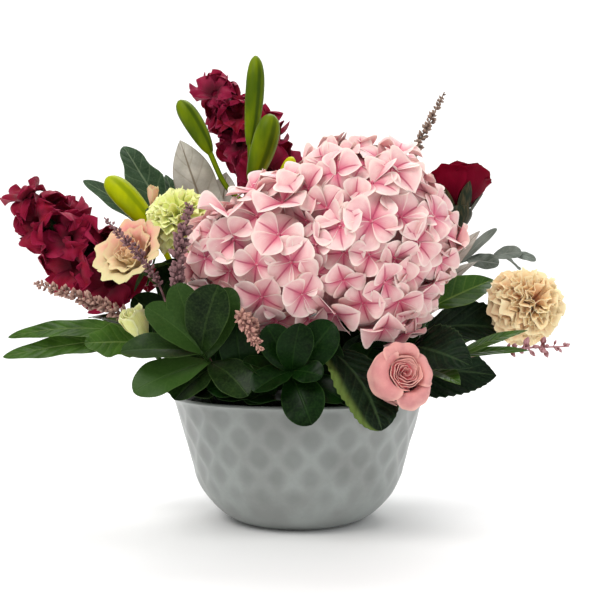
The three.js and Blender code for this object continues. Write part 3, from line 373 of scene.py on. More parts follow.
def petal_finish(
    name,
    body,
    heart,
    edge,
    glow=0.7,
    midrib=0.6,
    spread=0.25,
    rim=0.22,
    rim_strength=0.8,
    vary=0.25,
    veins=0.3,
    shine=0.2,
    velvet=0.1,
    crease=0.0,
    calyx=None,
):
    """Soft petals: a deeper heart and mid-vein, fine lengthwise veins and a paler rim.

    A calyx colour dyes the parts whose seed is 0.
    """
    f = Finish(name)
    across, along, seed, _ = f.place()
    side = f.maths("ABSOLUTE", across)
    cloud = f.noise(7)
    fine = f.noise(1.2)
    base = f.mix(f.ramp(cloud, 0.3, 0.7), body, blend(body, edge, 0.35))
    base = f.mix(f.times(f.ramp(seed, 0.0, 1.0), vary), base, edge)
    root = f.ramp(along, 0.02, glow, 1.0, 0.0)
    stray = f.scaled(cloud, 0.5, 0.7)
    colour = f.mix(f.times(root, f.times(stray, 0.85)), base, heart)
    line = f.times(f.ramp(side, 0.0, spread, 1.0, 0.0), f.ramp(along, 0.1, 1.0, 1.0, 0.1))
    colour = f.mix(f.times(line, midrib), colour, heart)
    wander = f.scaled(fine, 1.4, f.times(across, 7.0))
    comb = f.maths("ABSOLUTE", f.maths("SINE", f.times(wander, math.pi)))
    vein = f.times(f.ramp(comb, 0.0, 0.35, 1.0, 0.0), f.ramp(along, 0.1, 0.9, veins, 0.0))
    colour = f.mix(vein, colour, heart)
    border = f.maths("MAXIMUM", f.ramp(side, 1 - rim, 1.0), f.ramp(along, 1 - 0.6 * rim, 1.0))
    colour = f.mix(f.times(border, rim_strength), colour, edge)
    if crease:
        thread = f.times(f.ramp(side, 0.02, 0.1, crease, 0.0), f.ramp(along, 0.7, 1.0, 1.0, 0.3))
        colour = f.mix(thread, colour, tuple(0.75 * c for c in heart))
    if calyx:
        colour = f.mix(f.ramp(seed, 0.0, 0.015, 1.0, 0.0), colour, calyx)
    height = f.scaled(comb, 0.4, f.times(fine, 0.5))
    f.bump(height, 0.25, 0.5)
    return f.made(
        colour,
        f.scaled(fine, 0.2, 0.45),
        Subsurface_Weight=0.1,
        Subsurface_Radius=(1.0, 0.45, 0.35),
        Subsurface_Scale=0.002,
        Sheen_Weight=velvet,
        Specular_IOR_Level=shine,
    )


def leaf_finish(
    name,
    dark,
    light,
    rib,
    pairs=7,
    slant=1.3,
    quilt=0.4,
    rough=0.34,
    rib_strength=0.6,
    shine=0.28,
    vary=0.45,
    edge=0.45,
    patch=1.0,
    painted_lit_margin=None,
):
    """Leaves: a paler midrib and side veins, a quilted blade and a duller, paler underside.

    A lit margin colour paints light on one side of the leaf with the lowest seed, the side that
    faces the lamps. The seed, times vary, also lightens the whole leaf: random tone where seeds are
    random, painted light where the tables give a high seed and painted shade where they give a low
    one.
    """
    f = Finish(name)
    across, along, seed, under = f.place()
    side = f.maths("ABSOLUTE", across)
    patches = f.noise(16, 4)
    fine = f.noise(1.6)
    colour = f.mix(f.ramp(patches, 0.3, 0.75, 0.0, patch), dark, light)
    # a higher seed lightens the whole leaf; where the tables give the seed, this is painted light
    # for a leaf facing the lamps and painted shade for a low seed
    colour = f.mix(f.times(seed, vary), colour, light)
    cell = f.maths("FRACT", f.scaled(side, -slant, f.times(along, pairs)))
    off = f.maths("ABSOLUTE", f.maths("SUBTRACT", cell, 0.5))
    vein = f.ramp(off, 0.02, 0.1, 1.0, 0.0)
    colour = f.mix(f.times(vein, 0.3 * rib_strength), colour, rib)
    middle = f.ramp(side, 0.02, 0.08, 1.0, 0.0)
    colour = f.mix(f.times(middle, rib_strength), colour, rib)
    mottled = f.times(f.ramp(fine, 0.35, 0.75), 0.12)
    colour = f.mix(mottled, colour, rib)
    colour = f.mix(f.ramp(side, 0.93, 0.99, 0.0, edge), colour, rib)
    if painted_lit_margin:
        # painted light: a lit strip on one half of the leaf with the lowest seed, the half that
        # faces the lamps
        lit_strip = f.times(f.ramp(across, 0.5, 0.85, 0.0, 0.9), f.ramp(seed, 0.13, 0.16, 1.0, 0.0))
        colour = f.mix(lit_strip, colour, painted_lit_margin)
    colour = f.mix(f.times(under, 0.5), colour, blend(light, rib, 0.25))
    height = f.scaled(f.ramp(off, 0.0, 0.4), quilt, f.times(middle, -0.6))
    height = f.scaled(fine, 0.08, height)
    f.bump(height, 0.8, 0.6)
    dull = f.scaled(patches, 0.16, f.scaled(under, 0.25, rough - 0.08))
    return f.made(colour, dull, Specular_IOR_Level=shine)


def stem_finish(name, dark, light, joints=0.0, rough=0.45):
    """Stems, calyxes and buds: lengthwise streaks, with a blush of the second colour."""
    f = Finish(name)
    _, along, _, _ = f.place()
    streak = f.noise(2.2, 3, (1, 1, 6))
    fine = f.noise(0.9)
    colour = f.mix(f.ramp(streak, 0.35, 0.7), dark, light)
    colour = f.mix(f.times(f.ramp(along, 0.5, 1.0), joints), colour, light)
    f.bump(f.scaled(fine, 0.4, streak), 0.35, 0.5)
    return f.made(colour, f.scaled(fine, 0.2, rough - 0.1), Specular_IOR_Level=0.2)


def lily_finish(name, body, ribbed, tip, opening=None):
    """Lily buds: three broad lengthwise seams, and a yellower flank and tip.

    An opening colour dyes the buds whose seed is over 0.6.
    """
    f = Finish(name)
    across, along, seed, _ = f.place()
    wave = f.maths("COSINE", f.times(across, 3 * math.pi))
    cloud = f.noise(14, 3, (1, 1, 3))
    fine = f.noise(0.8, 2, (1, 1, 8))
    colour = f.mix(f.ramp(cloud, 0.3, 0.7), body, tip)
    colour = f.mix(f.ramp(wave, 0.55, 1.0, 0.0, 0.75), colour, ribbed)
    colour = f.mix(f.ramp(along, 0.75, 1.0, 0.0, 0.6), colour, tip)
    if opening:
        colour = f.mix(f.ramp(seed, 0.58, 0.62, 0.0, 0.85), colour, opening)
    f.bump(f.scaled(fine, 0.5, wave), 0.2, 0.4)
    return f.made(colour, f.scaled(fine, 0.15, 0.36), Specular_IOR_Level=0.08)


def glaze_finish(name, body, shade_and_speckle, bloom):
    """A pearly glaze, thin at the rim, with painted shade in the diamond hollows and over the whole
    inside of the bowl.
    """
    f = Finish(name)
    _, along, seed, _ = f.place()
    cloud = f.noise(38, 4)
    fine = f.noise(2.5, 4)
    colour = f.mix(f.ramp(cloud, 0.3, 0.7), body, bloom)
    # painted shade: darker in the diamond hollows, by how hollow each one is
    colour = f.mix(f.ramp(seed, 0.1, 0.8, 0.0, 0.42), colour, shade_and_speckle)
    colour = f.mix(f.ramp(along, 0.93, 0.985, 0.0, 0.5), colour, bloom)
    # a fine darker speckle in the glaze
    colour = f.mix(f.times(f.ramp(fine, 0.4, 0.7), 0.06), colour, shade_and_speckle)
    # painted shade: the whole inside of the bowl is made nearly black
    colour = f.mix(f.ramp(along, 1.02, 1.1, 0.0, 0.92), colour, tuple(0.05 * c for c in shade_and_speckle))
    f.bump(f.scaled(fine, 0.3, cloud), 0.25, 0.35)
    shine = f.scaled(cloud, 0.14, 0.3)
    return f.made(colour, shine, Specular_IOR_Level=0.5, Coat_Weight=0.15, Coat_Roughness=0.2)


def foam_finish(name, dark, light):
    """Wet floral foam: fine open cells with painted shade in their pores, darker where it is soaked.
    """
    f = Finish(name)
    cells = f.cells(1.1)
    soak = f.noise(22, 4)
    colour = f.mix(f.ramp(soak, 0.35, 0.65), dark, light)
    # painted shade in the pores of the cells
    colour = f.mix(f.ramp(cells, 0.0, 0.35, 0.55, 0.0), colour, tuple(0.4 * c for c in dark))
    f.bump(f.scaled(soak, 0.4, cells), 0.7, 0.9)
    return f.made(colour, f.scaled(soak, 0.2, 0.75), Specular_IOR_Level=0.03)


def floor_finish(name, pale):
    f = Finish(name)
    cloud = f.noise(260, 3)
    colour = f.mix(f.ramp(cloud, 0.3, 0.7), pale, tuple(0.985 * c for c in pale))
    return f.made(colour, f.scaled(cloud, 0.08, 0.75), Specular_IOR_Level=0.2)


# The bowl and its foam


BOWL_HEIGHT = 97.0
RIM_RADIUS = 98.5
KNEE_HEIGHT = 40.0
KNEE_RADIUS = 82.0
FOOT_RADIUS = 46.0
WALL = 4.2
FLOOR = 6.0
KNEE_EXPONENT = 1.5
LIP_RISE = 1.8
LIP_STEPS = 8
DIAMONDS_AROUND = 22
COLUMNS_PER_DIAMOND = 14
DIAMOND_HALF_HEIGHT = 14.5
FIRST_DIAMOND_ROW = 15.0
LAST_DIAMOND_ROW = 92.0
DIAMOND_TURN = -0.04
FADE_HEIGHT = 3.0
INSIDE_MARK = 1.2


def bowl_radius(z):
    z = np.asarray(z, float)
    wall = lerp(KNEE_RADIUS, RIM_RADIUS, (z - KNEE_HEIGHT) / (BOWL_HEIGHT - KNEE_HEIGHT))
    drop = part_way(KNEE_HEIGHT - z, KNEE_HEIGHT) ** KNEE_EXPONENT
    knee = FOOT_RADIUS + (KNEE_RADIUS - FOOT_RADIUS) * (1 - drop) ** (1 / KNEE_EXPONENT)
    return np.where(z >= KNEE_HEIGHT, wall, knee)


def bowl_form(relief):
    """The bowl's skin, from the middle of its foot over the rim and down to its inside floor.

    A place here is the turn about +Z, the height, and how hollow the diamond is. The height
    is over 1 all through the inside.
    """
    columns = COLUMNS_PER_DIAMOND * DIAMONDS_AROUND
    angles = DIAMOND_TURN + TAU * np.arange(columns) / columns
    step = np.arange(columns) / columns * 2 * DIAMONDS_AROUND
    outside = [(r, 0.0) for r in np.linspace(8, FOOT_RADIUS - 1.5, 4)]
    outside += [(FOOT_RADIUS - 0.4, 0.15), (FOOT_RADIUS, 0.6)]
    heights = np.concatenate([np.linspace(1, 12, 9), np.linspace(13, 94.5, 82)])
    outside += [(float(bowl_radius(z)), float(z)) for z in heights]
    lip = []
    for k in range(LIP_STEPS + 1):
        turn = math.pi * k / LIP_STEPS
        radius = RIM_RADIUS - WALL / 2 + 0.48 * WALL * math.cos(turn)
        lip.append((radius, BOWL_HEIGHT - LIP_RISE + LIP_RISE * math.sin(turn)))
    inside = [(float(bowl_radius(z)) - WALL, float(z)) for z in np.linspace(94, 13, 14)]
    inside += [(FOOT_RADIUS + 6, 8.0), (FOOT_RADIUS, FLOOR), (10, FLOOR)]
    rows = outside + lip + inside
    rings, places = [], []
    for n, (radius, z) in enumerate(rows):
        row = (z - FIRST_DIAMOND_ROW) / DIAMOND_HALF_HEIGHT
        cells = np.abs(np.cos(math.pi * (step + row) / 2) * np.cos(math.pi * (step - row) / 2))
        fade = lerp(0.3, 1, part_way(z - 12, 45)) * part_way(z - 6, 8)
        fade *= part_way(LAST_DIAMOND_ROW + FADE_HEIGHT - z, FADE_HEIGHT)
        hollow = cells**0.8 * fade if n < len(outside) else np.zeros(columns)
        rings.append(level_ring(radius - relief * hollow, angles, z))
        # The third place value, how hollow the diamond is, sets the glaze's painted shade in the
        # hollows; INSIDE_MARK sets painted shade all over the inside.
        along = z / BOWL_HEIGHT if n < len(outside) + len(lip) else INSIDE_MARK
        places.append(np.column_stack([angles / math.pi, np.full(columns, along), 0.96 * hollow]))
    form = rings_skinned(rings, at(0, 0, 0), at(0, 0, FLOOR))
    form.places = np.vstack([at(0, 0, 0), *places, at(0, INSIDE_MARK, 0)])
    return form


# The hydrangea


HEAD_CENTRE = at(24, -38, 207)
HEAD_LOBES = [
    (at(48, -34, 216), 71),
    (at(-42, -46, 206), 39),
    (at(-8, -46, 224), 41),
    (at(-6, -48, 194), 49),
    (at(74, -38, 212), 45),
    (at(50, -45, 184), 46),
]
HEAD_UNDERSIDE = -0.74
SLOPE_START = (80, 222)
SLOPE_REACH = 24
CORE_INSET = 14
FLORET_KNOB = [(-0.8, 0.5), (0.2, 1.5), (1.4, 1.25), (2.1, 0.2)]
FLORET_CANDIDATES = 3200
FLORET_STALK = 15


def head_surface(direction):
    """Where a ray from the middle of the head leaves its lobes, and how the lobe there faces."""
    best = 0.0
    found = (HEAD_CENTRE, direction)
    for centre, radius in HEAD_LOBES:
        offset = HEAD_CENTRE - centre
        along = float(np.dot(offset, direction))
        square = along * along - float(np.dot(offset, offset)) + radius * radius
        reach = math.sqrt(square) - along if square > 0 else 0.0
        if reach > best:
            best = reach
            point = HEAD_CENTRE + reach * direction
            found = (point, unit(point - centre))
    return found


def head_slope(point):
    """How far a point lies in the head's sloping upper right, from 0 to 1."""
    right = part_way(point[0] - SLOPE_START[0], SLOPE_REACH)
    return right * part_way(point[2] - SLOPE_START[1], SLOPE_REACH)


def evenly_spaced(places, count):
    """Picks places one by one, each as far as can be from those picked before."""
    points = np.array([point for point, _ in places])
    picked = [0]
    gaps = np.full(len(points), np.inf)
    while len(picked) < count:
        gaps = np.minimum(gaps, np.linalg.norm(points - points[picked[-1]], axis=1))
        picked.append(int(np.argmax(gaps)))
    return [places[k] for k in picked]


def hydrangea_petal(rng, length, seed):
    """One petal along +X: a rounded lozenge, folded along its mid-vein, with a waved edge."""
    width = length * rng.uniform(0.54, 0.64)
    cup, curl = rng.uniform(-0.05, 0.6), rng.uniform(0.1, 0.5)
    fold, skew = rng.uniform(0.12, 0.62), rng.uniform(-0.18, 0.18)
    wave, phase = rng.uniform(0.2, 1.0), rng.uniform(0, TAU)
    widest = rng.uniform(0.56, 0.64)

    def surface(across, along):
        grow = (along / widest) ** 1.05 * ((1 - along) / (1 - widest)) ** 0.82
        half = np.maximum(width * grow, 0.3)
        y = across * half
        ripple = wave * across**2 * np.sin(2.2 * math.pi * along + phase + across)
        z = length * (cup * along - curl * along**2) + fold * np.abs(y) ** 1.1 + skew * y + ripple
        return np.stack([length * (0.03 + 0.97 * along), y, z], axis=-1)

    return sheet(surface, 6, 9, 0.5, seed)


def hydrangea_floret(rng, radius):
    """Four petals in a cross round a small knob, on a stalk that runs down -Z."""
    seed = rng.uniform(0.02, 0.98)
    forms = []
    for k in range(4):
        petal = hydrangea_petal(rng, radius * rng.uniform(0.9, 1.08), seed)
        forms.append(petal.moved(spin=k * TAU / 4 + rng.uniform(-0.1, 0.1)))
    knob = turned(FLORET_KNOB, 8, 5, seed=0.0)
    knob.places[:, 1] = 0.0
    line = np.linspace(at(0, 0, 0), at(0, 0, -FLORET_STALK), 3)
    pedicel = tube(line, [0.9, 0.7, 0.8], 5, 0.9)
    pedicel.places[:, 1] = 0.8
    return joined([*forms, knob, pedicel])


def hydrangea_head(count, radius):
    """Florets standing all over a lobed core, each on a stalk that is sunk in the core.

    They are tucked in at the head's lower right, upper left and upper right, and stand out
    further low down.
    """
    rng = np.random.default_rng(11)
    places = []
    for k in range(FLORET_CANDIDATES):
        z = lerp(1, HEAD_UNDERSIDE, (k + 0.5) / FLORET_CANDIDATES)
        places.append(head_surface(compass(math.sqrt(1 - z * z), k * GOLDEN_ANGLE, z)))
    forms = [head_core()]
    for point, normal in evenly_spaced(places, count):
        low = part_way(190 - point[2], 30)
        lower_right = part_way(point[0] - 62, 36) * part_way(216 - point[2], 28)
        upper_left = part_way(-40 - point[0], 24) * part_way(point[2] - 214, 18)
        slope = head_slope(point)
        tuck = max(lower_right, upper_left, slope)
        sink = rng.uniform(-1, 8.5 - 6 * tuck) + 8 * tuck + 4 * slope - 7 * low * (1 - tuck)
        facing = unit(normal + rng.uniform(-0.34, 0.34, 3))
        floret = hydrangea_floret(rng, radius * rng.uniform(0.84, 1.16) * (1 - 0.12 * tuck))
        forms.append(floret.moved(point - sink * normal, facing, rng.uniform(0, TAU)))
    return joined(forms)


def head_core():
    """The closed heart of the head, inside its florets."""
    sides, stations = 36, 22
    rings = []
    for j in range(1, stations):
        polar = math.pi * (1 - j / stations)
        ring = []
        for k in range(sides):
            direction = compass(math.sin(polar), TAU * k / sides, math.cos(polar))
            point, _ = head_surface(direction)
            ring.append(point - (CORE_INSET + 6 * head_slope(point)) * direction)
        rings.append(np.array(ring))
    low, _ = head_surface(at(0, 0, -1))
    high, _ = head_surface(at(0, 0, 1))
    inset = at(0, 0, CORE_INSET)
    core = rings_skinned(rings, low + inset, high - inset, 0.1)
    core.places[:, 0] = 0.5
    core.places[:, 1] = 0.4
    return core


# Roses, lisianthus and buds: petals wrapped round an axis


def wrapped_petal(rng, radius, height, middle, waist, lip, top, spread, curl, drift, frill):
    """A petal that rises from the bloom's base, swells to its waist and opens to its lip."""
    lean, phase = rng.uniform(-0.03, 0.03), rng.uniform(0, TAU)
    ruffle = frill * (0.012 + 0.02 * lip)

    def surface(across, along):
        angle = middle + across * spread * np.minimum(1, 0.3 + 1.2 * along)
        swell = np.sin(np.minimum(along, 0.72) / 0.72 * math.pi / 2)
        flare = part_way(along - 0.45, 0.55) ** 2 * (1 - 0.35 * across**2)
        roll = part_way(along - 0.78, 0.22) ** 2
        r = 0.14 + (waist - 0.14) * swell + (lip - waist) * flare + 0.05 * across * along
        r = r + ruffle * np.sin(3 * across * math.pi + phase) * along**3
        r = r + curl * roll + lean * along
        crown = 1 - 0.15 * across**2 * along + 0.05 * np.exp(-((across / 0.16) ** 2)) * along**4
        z = 0.02 + top * along * crown - 0.55 * curl * roll - 0.06 * flare * lip
        slide = (waist - 0.6) * along
        x, y = (r * turn(angle) + shift * slide for turn, shift in zip((np.cos, np.sin), drift))
        return np.stack([radius * x, radius * y, height * z], axis=-1)

    thickness = 0.85 if waist < 0.5 else 0.5
    return sheet(surface, 14, 14, thickness, rng.uniform(0.02, 0.98), 0.5)


def rolled_petal(rng, radius, height, middle, spread, path, drift):
    """A petal that hugs the heart, then rolls outward and down by a path of (out, up) pairs."""
    line = spline([(out, up, 0) for out, up in path], 60)
    steps = np.linspace(0, 1, len(line))
    phase = rng.uniform(0, TAU)

    def surface(across, along):
        reach = along * (1 - 0.09 * across**2)
        out, up = (np.interp(reach, steps, line[:, k]) for k in (0, 1))
        narrow = 1 - 0.42 * part_way(along - 0.7, 0.3) ** 2
        angle = middle + across * spread * narrow * np.minimum(1, 0.35 + 1.3 * along)
        ruffle = 0.02 * np.sin(2.4 * across * math.pi + phase) * along**3
        x, y = (
            (out + ruffle) * turn(angle) + shift * (out - 0.6) * along
            for turn, shift in zip((np.cos, np.sin), drift)
        )
        z = up + ruffle + 0.03 * np.exp(-((across / 0.2) ** 2)) * along**5
        return np.stack([radius * x, radius * y, height * z], axis=-1)

    return sheet(surface, 16, 20, 0.5, rng.uniform(0.02, 0.98), 0.5)


def rose_form(seed, radius, height, rings, drift=(0, 0), rolled=(), frill=1.0):
    """Rings are (count, first and last waist, first and last lip, top, spread, curl).

    Rolled petals are (middle in degrees, spread, path), drift leans the whole bloom, and frill
    deepens the waves of the petals' edges.
    """
    rng = np.random.default_rng(seed)
    forms = []
    turn = 0.0
    for count, waists, lips, top, spread, curl in rings:
        for k in range(count):
            share = k / max(1, count - 1)
            turn += GOLDEN_ANGLE if count > 5 else TAU / count
            waist = lerp(*waists, share)
            petal = wrapped_petal(
                rng,
                radius,
                height,
                turn,
                waist,
                lerp(*lips, share),
                top * rng.uniform(0.975, 1.02),
                spread,
                curl * rng.uniform(0.7, 1.3),
                drift,
                frill,
            )
            petal.places[:, 1] *= min(1, 0.86 + 0.3 * waist)
            forms.append(petal)
        turn += 0.4
    for middle, spread, path in rolled:
        forms.append(rolled_petal(rng, radius, height, math.radians(middle), spread, path, drift))
    outline = WIDE_HEART if rolled else NARROW_HEART
    heart = turned(stretched(outline, height, radius), 16, 14, seed=0.1)
    heart.places[:, 1] = 0.15
    return joined([heart, *forms])


NARROW_HEART = [(0.0, 0.005), (0.12, 0.3), (0.5, 0.3), (0.74, 0.06)]
WIDE_HEART = [(0.0, 0.005), (0.12, 0.3), (0.6, 0.42), (0.82, 0.42), (0.8, 0.25), (0.7, 0.05)]

# Rings and rolled petals, as rose_form takes them
FULL_ROSE = [
    (3, (0.08, 0.13), (0.08, 0.13), 0.84, 1.8, 0.01),
    (3, (0.18, 0.22), (0.18, 0.22), 0.89, 1.6, 0.02),
    (3, (0.27, 0.31), (0.26, 0.3), 0.93, 1.5, 0.03),
    (3, (0.35, 0.38), (0.33, 0.36), 0.96, 1.45, 0.05),
    (3, (0.42, 0.46), (0.41, 0.45), 0.96, 1.4, 0.06),
    (4, (0.8, 0.84), (0.78, 0.82), 0.56, 1.15, 0.0),
]
ROLLED_PETALS = [
    (192, 1.3, [(0.14, 0.02), (0.44, 0.4), (0.5, 0.84), (0.66, 0.96), (0.88, 0.84), (1.0, 0.52)]),
    (24, 0.95, [(0.14, 0.02), (0.48, 0.4), (0.53, 0.8), (0.68, 0.9), (0.86, 0.84), (0.96, 0.66)]),
    (306, 0.95, [(0.14, 0.02), (0.5, 0.38), (0.56, 0.76), (0.74, 0.86), (0.95, 0.76), (1.06, 0.6)]),
    (108, 0.9, [(0.14, 0.02), (0.5, 0.42), (0.58, 0.84), (0.74, 0.98), (0.92, 0.96), (1.02, 0.8)]),
]
DARK_ROSE = [
    (8, (0.1, 0.42), (0.1, 0.44), 0.93, 1.5, 0.0),
    (5, (0.5, 0.56), (0.56, 0.64), 0.97, 1.15, 0.03),
    (3, (0.64, 0.68), (0.76, 0.82), 0.93, 1.1, 0.07),
    (5, (0.8, 0.84), (0.98, 1.02), 0.84, 0.82, 0.1),
]
LOOSE_BLOOM = [
    (6, (0.14, 0.34), (0.16, 0.42), 0.78, 1.3, 0.0),
    (4, (0.46, 0.5), (0.66, 0.72), 0.84, 0.95, 0.05),
    (5, (0.62, 0.66), (0.94, 1.0), 0.86, 0.84, 0.1),
]
CLOSED_BUD = [
    (6, (0.12, 0.5), (0.1, 0.46), 0.97, 1.3, 0.0),
    (4, (0.58, 0.62), (0.58, 0.66), 1.0, 1.1, 0.03),
]


# Carnations


CARNATION_CORE = [(-0.04, 0.12), (0.25, 0.3), (0.62, 0.12)]
PETAL_TEETH = 15


def carnation_petal(rng, radius, opening, seed):
    """A fan-shaped petal, waved across and toothed along its edge, rising from the heart."""
    waves, phase = rng.uniform(2.2, 3.6), rng.uniform(0, TAU)
    depth = rng.uniform(0.06, 0.11) * radius
    fan = rng.uniform(0.48, 0.7)
    teeth = rng.uniform(-1, 1, PETAL_TEETH)
    reach = radius * rng.uniform(0.86, 1.0)

    def surface(across, along):
        notch = np.interp(across, np.linspace(-1, 1, PETAL_TEETH), teeth)
        length = reach * (0.1 + 0.9 * along + 0.06 * notch * along**4) * (1 - 0.08 * across**2)
        spread = fan * along**1.4 * across
        polar = opening * (0.45 + 0.55 * along**0.8)
        x, z = np.sin(polar) * np.cos(spread), np.cos(polar)
        wave = depth * along**2 * np.sin(waves * math.pi * across + phase)
        back = np.stack([np.cos(polar), np.zeros_like(polar), -np.sin(polar)], axis=-1)
        out = np.stack([x * length, np.sin(spread) * length, z * length], axis=-1)
        return out + back * wave[..., None]

    return sheet(surface, 18, 8, 0.35, seed, 0.5)


def carnation_form(seed, radius, count):
    rng = np.random.default_rng(seed)
    heart = at(0, 0, 0.36 * radius)
    forms = []
    for k in range(count):
        opening = lerp(0.12, 2.0, ((k + 0.5) / count) ** 0.72)
        petal = carnation_petal(rng, radius, opening, rng.uniform(0.02, 0.98))
        forms.append(petal.moved(heart, None, k * GOLDEN_ANGLE))
    core = turned(stretched(CARNATION_CORE, radius, radius), 14, 8, seed=0.2)
    core.places[:, 1] = 0.2
    return joined([core, *forms])


# Calyxes and stems of the single blooms


CALYX_CUP = [(-1.25, 0.2), (-0.95, 0.55), (-0.5, 0.92), (-0.3, 0.94), (-0.16, 0.4)]
STEM_STATIONS = 36


def calyx_form(radius, height, sepals, reach, hug=0.0):
    """A green cup under a bloom, opening into pointed sepals.

    They bend away from the bloom, or lie on it and rise by the length that hug gives.
    """
    cup = turned(
        stretched(CALYX_CUP, height, radius),
        16,
        12,
        lambda angle, share: 1 + 0.05 * np.cos(sepals * angle),
        0.2,
    )

    def surface(across, along):
        half = np.maximum(0.62 * radius * (1 - along) ** 0.8 * (0.75 + 0.9 * along), 0.2)
        if hug:
            x = 0.9 * radius + reach * along - 0.3 * np.abs(across) * half
            z = hug * along - 0.3 * height
        else:
            x = 0.62 * radius + (0.38 * radius + reach) * along
            z = -0.36 * height - 0.35 * reach * along**1.6 + 0.12 * np.abs(across) * half
        return np.stack([x, across * half, z], axis=-1)

    forms = [cup]
    for k in range(sepals):
        sepal = sheet(surface, 6, 8, 0.9, 0.3 + 0.1 * k)
        forms.append(sepal.moved(spin=TAU * k / sepals))
    return joined(forms)


# Leaves and leafy stems


LEAF_THICKNESS = 0.8
LEAF_TEETH = 15
SPRAY_KNOB = [(-2.4, 0.5), (-1.2, 2.0), (0.8, 2.2), (2.2, 0.6)]


def leaf_form(
    base,
    tip,
    up,
    width,
    arch=3.0,
    fold=0.18,
    shoulder=0.8,
    point=0.9,
    teeth=0.0,
    wave=0.0,
    scallop=0.0,
    broad=1.0,
    seed=0.5,
    columns=10,
):
    """A leaf from base to tip, folded on its midrib and arched.

    Its edge can be toothed, lobed or waved.
    """
    rng = np.random.default_rng(int(seed * 9973))
    along_it = tip - base
    side = unit(np.cross(along_it, up))
    lift = unit(np.cross(side, along_it))
    widest = shoulder / (shoulder + point)
    width *= broad
    phase, sway, twist = rng.uniform(0, TAU), rng.uniform(-0.07, 0.07), rng.uniform(-0.3, 0.3)
    arch, fold = arch * rng.uniform(0.6, 1.7), fold * rng.uniform(0.6, 1.9)
    rows = 3 * LEAF_TEETH if teeth else 22

    def surface(across, step):
        along = 1 - (1 - step) ** 1.5
        outline = (along / widest) ** shoulder * ((1 - along) / (1 - widest)) ** point
        stalk = np.where(along < 0.5, 0.8, 0.25)
        lobes = np.sin(TAU * 3.2 * along + phase + 0.8 * np.sign(across))
        outline = outline * (1 + scallop * lobes)
        half = np.maximum(0.5 * width * outline, stalk)
        if teeth:
            saw = np.mod(step * LEAF_TEETH, 1.0)
            half = half * (1 - teeth * 0.55 * np.abs(across) ** 3 * (1 - saw))
        cup = fold * half * np.abs(across) ** 1.3 + twist * across * half * along
        ripple = wave * across * np.sin(TAU * 1.5 * along) * half
        flutter = 0.05 * half * across**2 * np.sin(5 * along * math.pi + phase + 2 * across)
        bend = 4 * arch * along * (1 - along)
        shift = across * half + sway * width * np.sin(math.pi * along)
        out = base + along[..., None] * along_it
        return out + (bend + cup + ripple + flutter)[..., None] * lift + shift[..., None] * side

    return sheet(surface, columns, rows, LEAF_THICKNESS, seed)


def rooted_leaf(line, base, tip, up, width, **shape):
    """A leaf whose base is moved onto a stem's middle line, and a little way through it."""
    base, tip, up = (np.asarray(v, float) for v in (base, tip, up))
    root = line[int(np.argmin(np.linalg.norm(line - base, axis=1)))]
    root = root - 1.5 * unit(tip - root)
    return leaf_form(root, tip, up, width, **shape)


OBOVATE = {"shoulder": 0.88, "point": 0.5, "broad": 1.1}
# Seeds that paint light and shade on a whole leaf: a high seed lightens it as if it faced the lamps,
# a low one keeps it dark as if in shade.
LIT_LEAF = {**OBOVATE, "seed": 0.94}
HALF_LIT_LEAF = {**OBOVATE, "seed": 0.6}
SHADED_LEAF = {**OBOVATE, "seed": 0.03}
FINGER = {"shoulder": 0.45, "point": 0.6, "fold": 0.1, "scallop": 0.08}
ROUND_TIP = {"point": 0.6, "scallop": 0.14}
BLUNT = {"arch": 1, "shoulder": 0.6, "point": 0.45}

